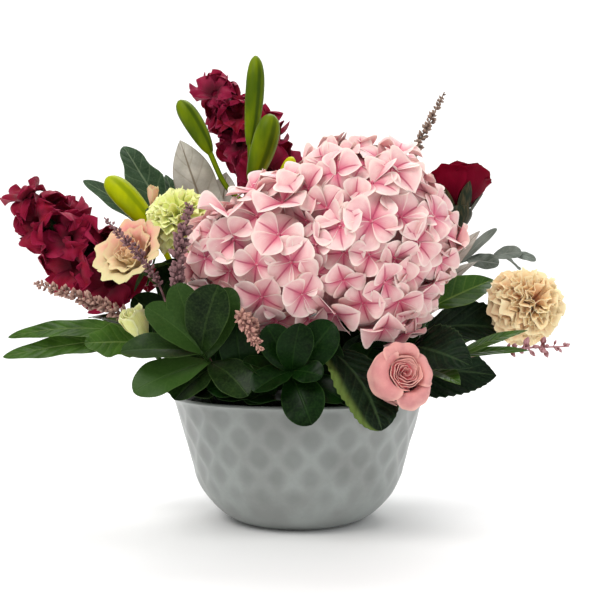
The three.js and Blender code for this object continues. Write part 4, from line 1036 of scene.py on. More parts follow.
# Leafy sprays: (name, finish, stem's route, stem's radius, leaves); a leaf is
# (base, tip, upper side, width, shape)
SPRAYS = [
    (
        "glossy_spray_left",
        "satin_leaf",
        [(-40, -44, 76), (-54, -70, 112), (-67, -89, 134)],
        1.7,
        [
            # The seeds here paint light on the leaves that face up to the lamps and shade on the
            # others.
            ((-67, -89, 134), (-85, -93, 182), (0.1, -0.95, 0.1), 22, HALF_LIT_LEAF),
            ((-67, -89, 134), (-54, -108, 181), (-0.2, -0.9, 0.3), 28, SHADED_LEAF),
            ((-64, -86, 130), (-46, -92, 179), (0.1, -0.95, 0.2), 23, {**OBOVATE, "seed": 0.4}),
            ((-67, -89, 134), (-104, -104, 166), (0.1, -0.85, 0.5), 24, {**OBOVATE, "seed": 0.75}),
            ((-67, -89, 133), (-122, -98, 135), (0, -0.7, 0.7), 25, {**OBOVATE, "seed": 0.35}),
            ((-63, -84, 127), (-112, -106, 108), (0, -0.65, 0.75), 26, LIT_LEAF),
            ((-62, -82, 125), (-34, -112, 106), (0.1, -0.7, 0.7), 25, SHADED_LEAF),
            ((-61, -80, 122), (-85, -99, 102), (-0.1, -0.8, 0.6), 25, SHADED_LEAF),
        ],
    ),
    (
        "glossy_spray_front",
        "glossy_leaf",
        [(-6, -46, 76), (-8, -76, 106), (-4, -94, 121)],
        1.7,
        [
            ((-4, -94, 121), (-22, -98, 153), (-0.1, -0.9, 0.4), 22, OBOVATE),
            ((-4, -94, 121), (1, -106, 155), (0.1, -0.9, 0.4), 23, OBOVATE),
            ((-3, -91, 119), (24, -96, 155), (0.2, -0.9, 0.3), 25, OBOVATE),
            ((-4, -94, 121), (16, -112, 119), (0.1, -0.8, 0.6), 18, OBOVATE),
            ((-4, -94, 120), (-30, -114, 109), (-0.1, -0.7, 0.7), 21, OBOVATE),
            ((-7, -84, 113), (-38, -100, 128), (-0.1, -0.7, 0.7), 19, OBOVATE),
            ((-4, -90, 117), (9, -115, 87), (0, -0.95, 0.3), 27, SHADED_LEAF),
            ((-4, -88, 115), (31, -104, 102), (0.1, -0.8, 0.6), 20, OBOVATE),
            ((-8, -76, 106), (-34, -95, 101), (0, -0.7, 0.7), 26, SHADED_LEAF),
        ],
    ),
    (
        "glossy_spray_upright",
        "glossy_leaf",
        [(-24, -46, 76), (-32, -68, 100), (-38, -78, 110)],
        1.7,
        [
            ((-38, -78, 110), (-44, -84, 158), (0.1, -1, 0.1), 25, OBOVATE),
            ((-36, -75, 107), (-12, -64, 144), (0.2, -1, 0.1), 24, OBOVATE),
            ((-37, -76, 108), (-62, -96, 108), (0, -0.7, 0.7), 26, OBOVATE),
            ((-34, -71, 104), (-56, -92, 102), (0, -0.7, 0.7), 28, SHADED_LEAF),
            ((-34, -71, 104), (-18, -94, 102), (0, -0.7, 0.7), 27, SHADED_LEAF),
        ],
    ),
    (
        "low_spray_left",
        "satin_leaf",
        [(-58, -36, 76), (-64, -46, 96), (-68, -52, 106)],
        1.7,
        [
            ((-68, -52, 106), (-103, -58, 108), (0, -0.55, 0.85), 27, OBOVATE),
            ((-68, -52, 106), (-90, -82, 104), (0, -0.55, 0.85), 26, OBOVATE),
            ((-67, -51, 105), (-84, -62, 140), (0.1, -1, 0.1), 25, SHADED_LEAF),
            ((-65, -48, 99), (-62, -86, 102), (0, -0.6, 0.8), 28, SHADED_LEAF),
        ],
    ),
    (
        "dark_spray_left",
        "glossy_leaf",
        [(-62, -16, 76), (-60, -20, 104), (-64, -20, 128)],
        1.7,
        [
            ((-64, -20, 128), (-98, -26, 186), (0.1, -0.95, 0.3), 30, OBOVATE),
            ((-64, -20, 128), (-66, -26, 166), (0.1, -0.95, 0.2), 26, OBOVATE),
            ((-63, -20, 122), (-110, -34, 152), (0, -0.8, 0.5), 26, OBOVATE),
            ((-60, -20, 110), (-32, -38, 140), (0, -1, 0.1), 28, OBOVATE),
            ((-63, -20, 124), (-106, 6, 202), (0.1, -0.95, 0.3), 34, OBOVATE),
            ((-62, -20, 120), (-127, -20, 173), (0.1, -0.95, 0.3), 30, SHADED_LEAF),
        ],
    ),
    (
        "dark_spray_front",
        "glossy_leaf",
        [(20, -46, 76), (26, -64, 98), (30, -72, 106)],
        1.7,
        [
            ((30, -72, 106), (4, -68, 146), (0, -1, 0.1), 28, OBOVATE),
            ((29, -70, 104), (54, -54, 136), (0.1, -1, 0.3), 26, OBOVATE),
            ((29, -70, 104), (41, -104, 96), (0.1, -0.7, 0.7), 19, OBOVATE),
            ((26, -64, 98), (8, -92, 102), (0, -0.7, 0.7), 27, SHADED_LEAF),
            ((26, -64, 98), (52, -80, 102), (0, -0.7, 0.7), 27, SHADED_LEAF),
        ],
    ),
    (
        "dark_spray_inner",
        "glossy_leaf",
        [(28, -14, 76), (38, -10, 100), (44, -8, 112)],
        1.7,
        [
            ((44, -8, 112), (60, -10, 146), (0.1, -1, 0.1), 34, {}),
            ((43, -9, 110), (94, -18, 122), (0.1, -0.8, 0.6), 28, {}),
            ((42, -9, 108), (12, -2, 140), (-0.1, -1, 0.1), 28, {}),
            ((43, -9, 110), (31, -10, 156), (0, -1, 0.1), 34, {}),
            ((44, -8, 112), (96, -16, 150), (0, -1, 0.3), 28, {}),
        ],
    ),
    (
        "broad_spray_right",
        "broad_leaf",
        [(60, 16, 76), (88, 10, 126), (104, -8, 165)],
        1.7,
        [
            ((104, -8, 165), (156, 11, 187), (-0.2, -0.85, 0.45), 28, {}),
            ((100, -6, 157), (156, 38, 176), (0, 0.1, 1), 20, {}),
        ],
    ),
    (
        "lance_spray_right",
        "lobed_leaf",
        [(50, -26, 76), (82, -56, 112), (116, -68, 131)],
        1.7,
        [
            ((114, -67, 130), (163, -74, 149), (0, -0.7, 0.7), 9, {}),
            ((112, -66, 129), (166, -66, 134), (0, -0.6, 0.8), 8, {}),
            ((94, -60, 119), (112, -94, 112), (0.1, -0.7, 0.7), 20, {}),
        ],
    ),
    (
        "lobed_leaf_left",
        "lobed_leaf",
        [(-60, 2, 76), (-92, -8, 124), (-126, -20, 146)],
        1.7,
        [
            ((-124, -19, 145), (-222, -24, 142), (0, -0.85, 0.5), 14, {**FINGER, "arch": 9}),
            ((-120, -18, 143), (-226, -24, 127), (0, -0.85, 0.5), 19, {**FINGER, "arch": 4}),
            ((-110, -16, 137), (-161, -36, 138), (0.1, -0.9, 0.4), 26, ROUND_TIP),
            ((-126, -20, 146), (-172, 26, 156), (0.1, -0.4, 0.9), 18, {}),
        ],
    ),
    (
        "lobed_leaf_back",
        "blue_leaf",
        [(-40, 36, 76), (-76, 60, 150), (-104, 60, 228)],
        1.7,
        [
            ((-103, 60, 224), (-150, 62, 302), (0.4, -0.85, 0.3), 31, ROUND_TIP),
            ((-101, 60, 218), (-183, 56, 272), (0.3, -0.8, 0.5), 20, FINGER),
            ((-97, 60, 210), (-152, 72, 228), (0.2, -0.6, 0.8), 20, {}),
            ((-104, 60, 228), (-116, 78, 280), (0.5, -0.7, 0.3), 24, {}),
        ],
    ),
    (
        "silver_leaf_left",
        "silver_leaf",
        [(-26, 26, 76), (-56, 44, 150), (-72, 50, 226)],
        1.7,
        [
            ((-71, 50, 220), (-99, 42, 304), (0.2, -0.95, 0.2), 38, {"wave": 0.3}),
            ((-72, 50, 224), (-62, 62, 280), (0.2, -0.9, 0.2), 26, {"wave": 0.3}),
        ],
    ),
    (
        "silver_leaf_right",
        "silver_leaf",
        [(52, 16, 76), (88, 22, 130), (112, 18, 182)],
        1.7,
        [
            ((112, 18, 182), (145, 8, 226), (-0.5, -0.8, 0.3), 13, {}),
            ((108, 18, 176), (146, 26, 202), (-0.3, -0.7, 0.6), 12, {}),
        ],
    ),
    (
        "eucalyptus_sprig",
        "grey_leaf",
        [(44, 8, 76), (84, 20, 132), (126, 34, 198), (182, 28, 208)],
        1.3,
        [
            ((136, 33, 203), (162, 26, 229), (-0.3, -0.8, 0.5), 9, BLUNT),
            ((142, 33, 204), (163, 22, 200), (0, -0.8, 0.6), 15, {**BLUNT, "seed": 0.05}),
            ((160, 32, 207), (182, 24, 209), (0, -0.8, 0.6), 13, BLUNT),
            ((166, 32, 207), (184, 44, 196), (0, -0.6, 0.8), 12, BLUNT),
            ((176, 28, 208), (194, 26, 203), (0, -0.8, 0.6), 9, BLUNT),
        ],
    ),
    (
        "glossy_spray_back",
        "glossy_leaf",
        [(-10, 50, 76), (-14, 76, 108), (-16, 92, 132)],
        1.7,
        [
            ((-16, 91, 131), (-42, 104, 168), (0, 0.8, 0.5), 28, OBOVATE),
            ((-16, 91, 131), (-4, 106, 178), (0, 1, 0.2), 28, OBOVATE),
            ((-16, 90, 130), (-50, 116, 126), (0, 0.5, 0.85), 28, OBOVATE),
            ((-16, 90, 130), (24, 114, 134), (0, 0.5, 0.85), 28, OBOVATE),
            ((-15, 84, 120), (-12, 124, 96), (0, 0.6, 0.8), 28, OBOVATE),
            ((-12, 66, 98), (22, 84, 104), (0, 0.4, 0.9), 30, OBOVATE),
        ],
    ),
    (
        "glossy_spray_back_left",
        "glossy_leaf",
        [(-40, 40, 76), (-60, 56, 110), (-74, 70, 132)],
        1.7,
        [
            ((-74, 70, 132), (-76, 88, 182), (-0.3, 0.8, 0.3), 28, OBOVATE),
            ((-74, 70, 132), (-118, 70, 158), (-0.3, 0.6, 0.7), 28, OBOVATE),
            ((-74, 70, 132), (-112, 92, 122), (-0.3, 0.4, 0.85), 27, OBOVATE),
            ((-70, 66, 126), (-68, 112, 108), (0, 0.5, 0.85), 28, OBOVATE),
            ((-70, 66, 126), (-106, 50, 104), (-0.3, 0.2, 0.9), 26, OBOVATE),
            ((-58, 54, 108), (-30, 84, 108), (0, 0.3, 0.9), 30, OBOVATE),
            ((-56, 52, 106), (-88, 20, 104), (-0.3, 0.1, 0.9), 30, OBOVATE),
        ],
    ),
    (
        "glossy_spray_back_right",
        "glossy_leaf",
        [(46, 40, 76), (62, 58, 108), (76, 72, 130)],
        1.7,
        [
            ((76, 72, 130), (76, 90, 178), (0.3, 0.8, 0.3), 28, OBOVATE),
            ((76, 72, 130), (120, 70, 152), (0.3, 0.6, 0.7), 28, OBOVATE),
            ((74, 70, 127), (114, 94, 120), (0.3, 0.4, 0.85), 27, OBOVATE),
            ((72, 68, 124), (68, 114, 106), (0, 0.5, 0.85), 28, OBOVATE),
            ((72, 68, 124), (108, 50, 102), (0.3, 0.2, 0.9), 26, OBOVATE),
            ((60, 56, 104), (88, 26, 104), (0.3, 0.1, 0.9), 30, OBOVATE),
        ],
    ),
    (
        "dark_spray_back",
        "glossy_leaf",
        [(20, 44, 76), (24, 58, 98), (26, 68, 112)],
        1.7,
        [
            ((26, 68, 112), (50, 96, 122), (0, 0.5, 0.85), 27, OBOVATE),
            ((26, 68, 112), (26, 82, 148), (0, 1, 0.1), 28, OBOVATE),
            ((25, 66, 110), (20, 110, 102), (0, 0.5, 0.85), 28, OBOVATE),
        ],
    ),
]


def spray_form(route, radius, leaves, seed):
    """A stem along its route, with its leaves and a small knob at its end."""
    line = spline(route, 40)
    rng = np.random.default_rng(seed)
    forms = [tube(line, np.linspace(radius, 0.8 * radius, len(line)), 10, 0.2, 0.04)]
    knob = turned(SPRAY_KNOB, 10, 6, seed=0.3)
    forms.append(knob.moved(line[-1]))
    for base, tip, up, width, shape in leaves:
        looks = {"seed": rng.uniform(0.02, 0.98), **shape}
        forms.append(rooted_leaf(line, base, tip, up, width, **looks))
    return joined(forms)


# The hydrangea's own stem, with toothed leaves on long stalks
HYDRANGEA_ROUTE = [(8, -10, 76), (12, -16, 116), (20, -26, 166)]
TOOTHED = {"teeth": 0.17, "shoulder": 0.7, "point": 0.85, "columns": 14}
HYDRANGEA_LEAVES = [
    ((21, -70, 136), (56, -113, 83), (0.5, -0.85, 0.3), 48, {"arch": 4, "point": 0.5}),
    ((84, -56, 136), (121, -90, 124), (0.1, -0.9, 0.45), 42, {"arch": 5}),
    ((100, -18, 148), (174, 10, 143), (-0.2, -0.8, 0.55), 38, {"arch": 5}),
    ((70, -34, 114), (148, -40, 114), (0, -0.95, 0.3), 47, {"arch": 4}),
    ((12, 30, 144), (24, 108, 152), (0, 0.4, 0.9), 40, {"arch": 7}),
]


def hydrangea_stem_form():
    forms = [tube(spline(HYDRANGEA_ROUTE, 30), 3.4, 12, 0.2, 0.03)]
    joint = at(*HYDRANGEA_ROUTE[1])
    for k, (stalk, tip, up, width, shape) in enumerate(HYDRANGEA_LEAVES):
        end = at(*stalk)
        middle = lerp(joint, end, 0.5)
        middle[2] = end[2] - 4
        line = spline([joint, middle, end], 20)
        forms.append(tube(line, np.linspace(1.7, 1.3, len(line)), 8, 0.2))
        # The first leaf's seed, the lowest, gives it the toothed finish's painted lit margin
        looks = {**TOOTHED, "seed": 0.12 + 0.19 * k, **shape}
        forms.append(rooted_leaf(line, end, tip, up, width, **looks))
    return joined(forms)


# Lilies: (name, stem's route, buds); a bud is (stalk's route, tip, radius)
LILIES = [
    (
        "lily_buds_tall",
        [(-16, 20, 76), (-26, 26, 160), (-36, 26, 262)],
        [
            ([(-35, 26, 250), (-39, 28, 278), (-40, 30, 302)], (-35, 30, 371), 8),
            ([(-36, 26, 256), (-37, 18, 262), (-37, 12, 268)], (-21, 4, 318), 10.5),
            ([(-34, 26, 244), (-58, 30, 262), (-74, 30, 294)], (-98, 28, 334), 8.5),
            ([(-33, 26, 236), (-24, 34, 250), (-18, 40, 262)], (-5, 44, 290), 6),
        ],
    ),
    (
        "lily_bud_left",
        [(-38, 22, 76), (-78, 34, 146), (-112, 34, 214)],
        [([(-111, 34, 210), (-117, 29, 222), (-121, 24, 232)], (-156, 22, 270), 10.5)],
    ),
]


LILY_BUD = [
    (0, 0.34), (0.1, 0.6), (0.3, 0.86), (0.6, 1.0), (0.82, 0.9), (0.95, 0.58), (1, 0.2)
]


def lily_bud_form(base, tip, radius, seed):
    """A long bud with three seams, slightly bowed, widest past its middle."""
    axis = tip - base
    length = float(np.linalg.norm(axis))
    bud = turned(
        stretched(LILY_BUD, length, radius),
        24,
        24,
        lambda angle, share: 0.97 + 0.03 * np.cos(3 * angle) * math.sin(math.pi * share),
        seed,
    )
    share = bud.points[:, 2] / length
    bud.points[:, 0] += 0.05 * length * share * (1 - share)
    return bud.moved(base, axis)


def lily_form(route, buds):
    forms = [tube(spline(route, 40), np.linspace(3, 2.4, 40), 12, 0.3)]
    for k, (stalk, tip, radius) in enumerate(buds):
        line = spline(stalk, 16)
        tip = at(*tip)
        forms.append(tube(line, np.linspace(2.1, 2.4, 16), 10, 0.3))
        forms.append(lily_bud_form(lerp(line[-1], tip, -0.06), tip, radius, 0.2 + 0.15 * k))
    return joined(forms)


# Spikes of small buds: (name, finish, stem's route, where the buds begin, radius, rows, buds a row)
SPIKES = [
    ("bud_spike_tall", "brown_bud",
     [(26, 48, 76), (56, 66, 170), (92, 68, 280), (125, 64, 349)], 0.69, 6.4, 27, 7),
    ("bud_spike_upright", "spike_bud",
     [(-34, -30, 76), (-62, -64, 124), (-84, -88, 180), (-76, -90, 238)], 0.64, 8, 21, 6),
    ("bud_spike_left", "dusty_bud",
     [(-56, -8, 76), (-92, -10, 128), (-138, -18, 161), (-202, -26, 184)], 0.52, 8, 26, 6),
    ("bud_spike_blush", "spike_bud",
     [(-46, -20, 76), (-86, -50, 140), (-106, -66, 192), (-140, -66, 230)], 0.66, 5.6, 17, 5),
    ("bud_spike_drooping", "golden_bud",
     [(-12, -42, 76), (-22, -80, 138), (-38, -108, 159), (-25, -120, 137)], 0.6, 7.2, 17, 6),
    ("bud_spike_right", "mauve_bud",
     [(60, -24, 76), (92, -54, 118), (150, -60, 134), (197, -58, 137)], 0.7, 8.5, 8, 3),
]


def spike_form(route, bloom_from, radius, rows, buds, seed):
    """Small pointed buds on short stalks all round the end of a thin stem."""
    rng = np.random.default_rng(seed)
    line = spline(route, 90)
    last = len(line) - 1
    tangents, normals, binormals = carried_frames(line)
    forms = [tube(line, np.linspace(1.2, 0.6, len(line)), 8, 0.05)]
    for row in range(rows):
        share = row / rows
        size = radius * math.sin(math.pi * lerp(0.3, 0.85, share))
        for k in range(buds):
            where = lerp(bloom_from, 0.99, share + rng.uniform(0, 0.9) / rows)
            index = min(last, int(round(last * where)))
            angle = TAU * (k + 0.5 * (row % 2)) / buds + rng.uniform(-0.3, 0.3)
            out = math.cos(angle) * normals[index] + math.sin(angle) * binormals[index]
            facing = unit(out + rng.uniform(0.3, 1.1) * tangents[index])
            length = size * rng.uniform(0.7, 1.15)
            plump = rng.uniform(0.17, 0.25) * length
            bud = turned(
                [(0, 0.1 * length), (0.3 * length, 0.07 * length), (0.5 * length, plump),
                 (0.74 * length, 0.9 * plump), (length, 0.04 * length)],
                7,
                8,
                lambda a, s: 1 + 0.16 * np.cos(3.5 * a),
                rng.uniform(0.1, 0.98),
            )
            forms.append(bud.moved(line[index], facing, rng.uniform(0, TAU)))
    return joined(forms)


# Snapdragons: (name, bottom, top, stem's foot, rise, radius, florets, seed)
SNAPDRAGONS = [
    ("snapdragon_tall", (-24, 80, 276), (-73, 80, 352), (-12, 38, 76), (2, 16, 80), 37, 15, 21),
    ("snapdragon_left", (-143, 26, 180), (-221, 28, 248), (-56, 14, 76), (-34, 10, 40), 40, 17, 33),
]


THROAT = [
    (-0.62, 0.06), (-0.45, 0.14), (-0.18, 0.17), (-0.04, 0.2), (-0.12, 0.15), (-0.3, 0.1),
    (-0.42, 0.03),
]
FLORET_CALYX = [(-0.74, 0.05), (-0.66, 0.12), (-0.44, 0.13)]


def snapdragon_lobe(rng, size, seed, lift):
    """One ruffled lobe of a floret's mouth, rising by lift and curling over."""
    wave, phase = rng.uniform(0.07, 0.15) * size, rng.uniform(0, TAU)
    waves, curl = rng.uniform(1.2, 2.2), rng.uniform(0.2, 0.6)
    broad = rng.uniform(0.36, 0.48) * size

    def surface(across, along):
        outline = np.sin(math.pi * np.clip(0.14 + 0.76 * along, 0, 1)) ** 0.8
        half = np.maximum(broad * outline, 0.3)
        ruffle = wave * along * np.sin(waves * math.pi * across + phase + 2 * along)
        x = 0.14 * size + 0.56 * size * along
        z = lift * size * along - curl * size * along**2.2 + ruffle
        z = z + 0.16 * across**2 * size * along
        return np.stack([x, across * half, z], axis=-1)

    return sheet(surface, 14, 9, 0.6, seed, 0.5)


def snapdragon_floret(rng, size):
    """A short hollow tube opening into five ruffled lobes, with a calyx at its root."""
    seed = rng.uniform(0.02, 0.98)
    throat = turned(
        stretched(THROAT, size, size),
        12,
        12,
        lambda angle, share: 1 + 0.12 * np.cos(2 * angle) * share,
        seed,
    )
    throat.places[:, 1] = 0.12
    calyx = turned(stretched(FLORET_CALYX, size, size), 8, 5, seed=0.0)
    forms = [throat, calyx]
    for k in range(5):
        lift = rng.uniform(0.3, 0.65) if k < 2 else rng.uniform(0.1, 0.45)
        lobe = snapdragon_lobe(rng, size * rng.uniform(0.8, 1.12), seed, lift)
        forms.append(lobe.moved((0, 0, -0.1 * size), None, TAU * k / 5 + rng.uniform(-0.2, 0.2)))
    return joined(forms)


def snapdragon_form(bottom, top, radius, florets, seed):
    rng = np.random.default_rng(seed)
    bottom, top = at(*bottom), at(*top)
    axis = top - bottom
    direction = unit(axis)
    side = unit(np.cross(at(0, 0, 1), direction))
    cross = np.cross(direction, side)
    forms = [tube(np.linspace(bottom, top, 12), np.linspace(0.12, 0.05, 12) * radius, 8, 0.1)]
    for k in range(florets):
        share = (k + 0.5) / florets
        size = radius * rng.uniform(0.84, 1.02) * lerp(1, 0.7, share**1.6)
        foot = bottom + lerp(0.04, 0.97, share) * axis
        angle = k * GOLDEN_ANGLE
        facing = math.cos(angle) * side + math.sin(angle) * cross
        facing = unit(facing + lerp(0.1, 0.9, share) * direction + rng.uniform(-0.25, 0.25, 3))
        floret = snapdragon_floret(rng, size)
        forms.append(floret.moved(foot + 0.56 * size * facing, facing, rng.uniform(0, TAU)))
    return joined(forms)


def snapdragon_stem_form(bottom, top, foot, rise):
    """A round stem from the foam to the lowest floret, arriving along the spike."""
    bottom, foot = at(*bottom), at(*foot)
    face = unit(at(*top) - bottom)
    line = bezier(foot, foot + at(*rise), bottom - 50 * face, bottom, STEM_STATIONS)
    return tube(line, np.linspace(3, 2.6, STEM_STATIONS), 12, 0.3, 0.04)


# Blooms on their own stems. The base is where the bloom sits, and face is the way it looks.
# The stem leaves its foot along rise and meets the calyx over the length of arrive. A calyx is
# as calyx_form takes it, and lift raises it on the bloom.
BLOOMS = [
    {
        "name": "pink_rose",
        "finish": "rose_petal",
        "base": (67.5, -83, 112.5),
        "face": (0.16, -0.93, 0.3),
        "foot": (40, -34, 76),
        "rise": (14, -14, 34),
        "arrive": 26,
        "stem": 2.3,
        "calyx": (6.5, 9, 5, 12),
        "head": lambda: rose_form(4, 22.5, 33, FULL_ROSE, (-0.11, -0.12), ROLLED_PETALS),
    },
    {
        "name": "dark_rose",
        "finish": "dark_rose_petal",
        "base": (133, 42, 243),
        "face": (0.05, 0.35, 0.9),
        "foot": (42, 22, 76),
        "rise": (34, 8, 60),
        "arrive": 50,
        "stem": 2.6,
        "calyx": (12, 20, 5, 10.5, 18),
        "lift": 8,
        "head": lambda: rose_form(8, 26, 42, DARK_ROSE),
    },
    {
        "name": "peach_carnation",
        "finish": "peach_petal",
        "base": (172, 3, 160),
        "face": (0.34, -0.84, 0.4),
        "foot": (52, -4, 76),
        "rise": (36, 4, 52),
        "arrive": 24,
        "stem": 2,
        "calyx": (6.5, 20, 5, 4),
        "head": lambda: carnation_form(5, 32, 72),
    },
    {
        "name": "lime_carnation",
        "finish": "lime_petal",
        "base": (-91, 4, 224),
        "face": (-0.1, -0.72, 0.68),
        "foot": (-32, 8, 76),
        "rise": (-16, 6, 60),
        "arrive": 24,
        "stem": 2,
        "calyx": (5.5, 17, 5, 3),
        "head": lambda: carnation_form(9, 28.5, 52),
    },
    {
        "name": "blush_lisianthus",
        "finish": "blush_petal",
        "base": (-121, -7, 196),
        "face": (-0.4, -0.74, 0.5),
        "foot": (-48, -6, 76),
        "rise": (-34, 2, 38),
        "arrive": 22,
        "stem": 1.9,
        "calyx": (5, 9, 5, 14),
        "head": lambda: rose_form(15, 27, 33, LOOSE_BLOOM, frill=2.6),
    },
    {
        "name": "cream_bud",
        "finish": "cream_petal",
        "base": (-112, -52, 140),
        "face": (-0.4, -0.35, 0.85),
        "foot": (-54, -24, 76),
        "rise": (-20, -8, 30),
        "arrive": 14,
        "stem": 1.6,
        "calyx": (4.2, 6, 5, 7),
        "head": lambda: rose_form(3, 14.5, 27, CLOSED_BUD),
    },
]


SIDE_BUD = {"place": (-116, 2, 244), "face": (0.1, -0.3, 0.95), "radius": 6.5, "height": 17}
SIDE_SHOOT = [(-119, -4, 182), (-113, 6, 214), (-116, 3, 243)]


def bloom_stem_form(bloom):
    base, face = at(*bloom["base"]), unit(at(*bloom["face"]))
    seat = base + bloom.get("lift", 0) * face
    neck = seat - 0.9 * bloom["calyx"][1] * face
    foot, rise = at(*bloom["foot"]), at(*bloom["rise"])
    line = bezier(foot, foot + rise, neck - bloom["arrive"] * face, neck, STEM_STATIONS)
    stem = tube(line, bloom["stem"], 12, 0.3, 0.03)
    forms = [stem, calyx_form(*bloom["calyx"]).moved(seat, face)]
    if bloom["name"] == "blush_lisianthus":
        forms.append(tube(spline(SIDE_SHOOT, 20), 0.9, 8, 0.3))
        forms.append(calyx_form(3, 4, 5, 3).moved(SIDE_BUD["place"], SIDE_BUD["face"]))
    return joined(forms)


def lisianthus_head(form):
    """The bloom with its side bud, its seeds set so that the lower petals take the paler colour."""
    low, high = form.points[:, 2].min(), form.points[:, 2].max()
    under = 2 * (form.places[:, 2] > 1)
    form.places[:, 2] = 0.02 + 0.96 * (high - form.points[:, 2]) / (high - low) + under
    bud = rose_form(6, SIDE_BUD["radius"], SIDE_BUD["height"], CLOSED_BUD)
    return joined([form, bud.moved(SIDE_BUD["place"], SIDE_BUD["face"])])


def bloom_heads(names):
    for bloom in BLOOMS:
        if bloom["name"] in names:
            form = bloom["head"]().moved(bloom["base"], bloom["face"])
            if bloom["name"] == "blush_lisianthus":
                form = lisianthus_head(form)
            node = bloom["name"] + "_head"
            mesh_piece(node + ".petals", node, form, finishes()[bloom["finish"]])


# The finishes of every piece, by a plain name

_made = {}


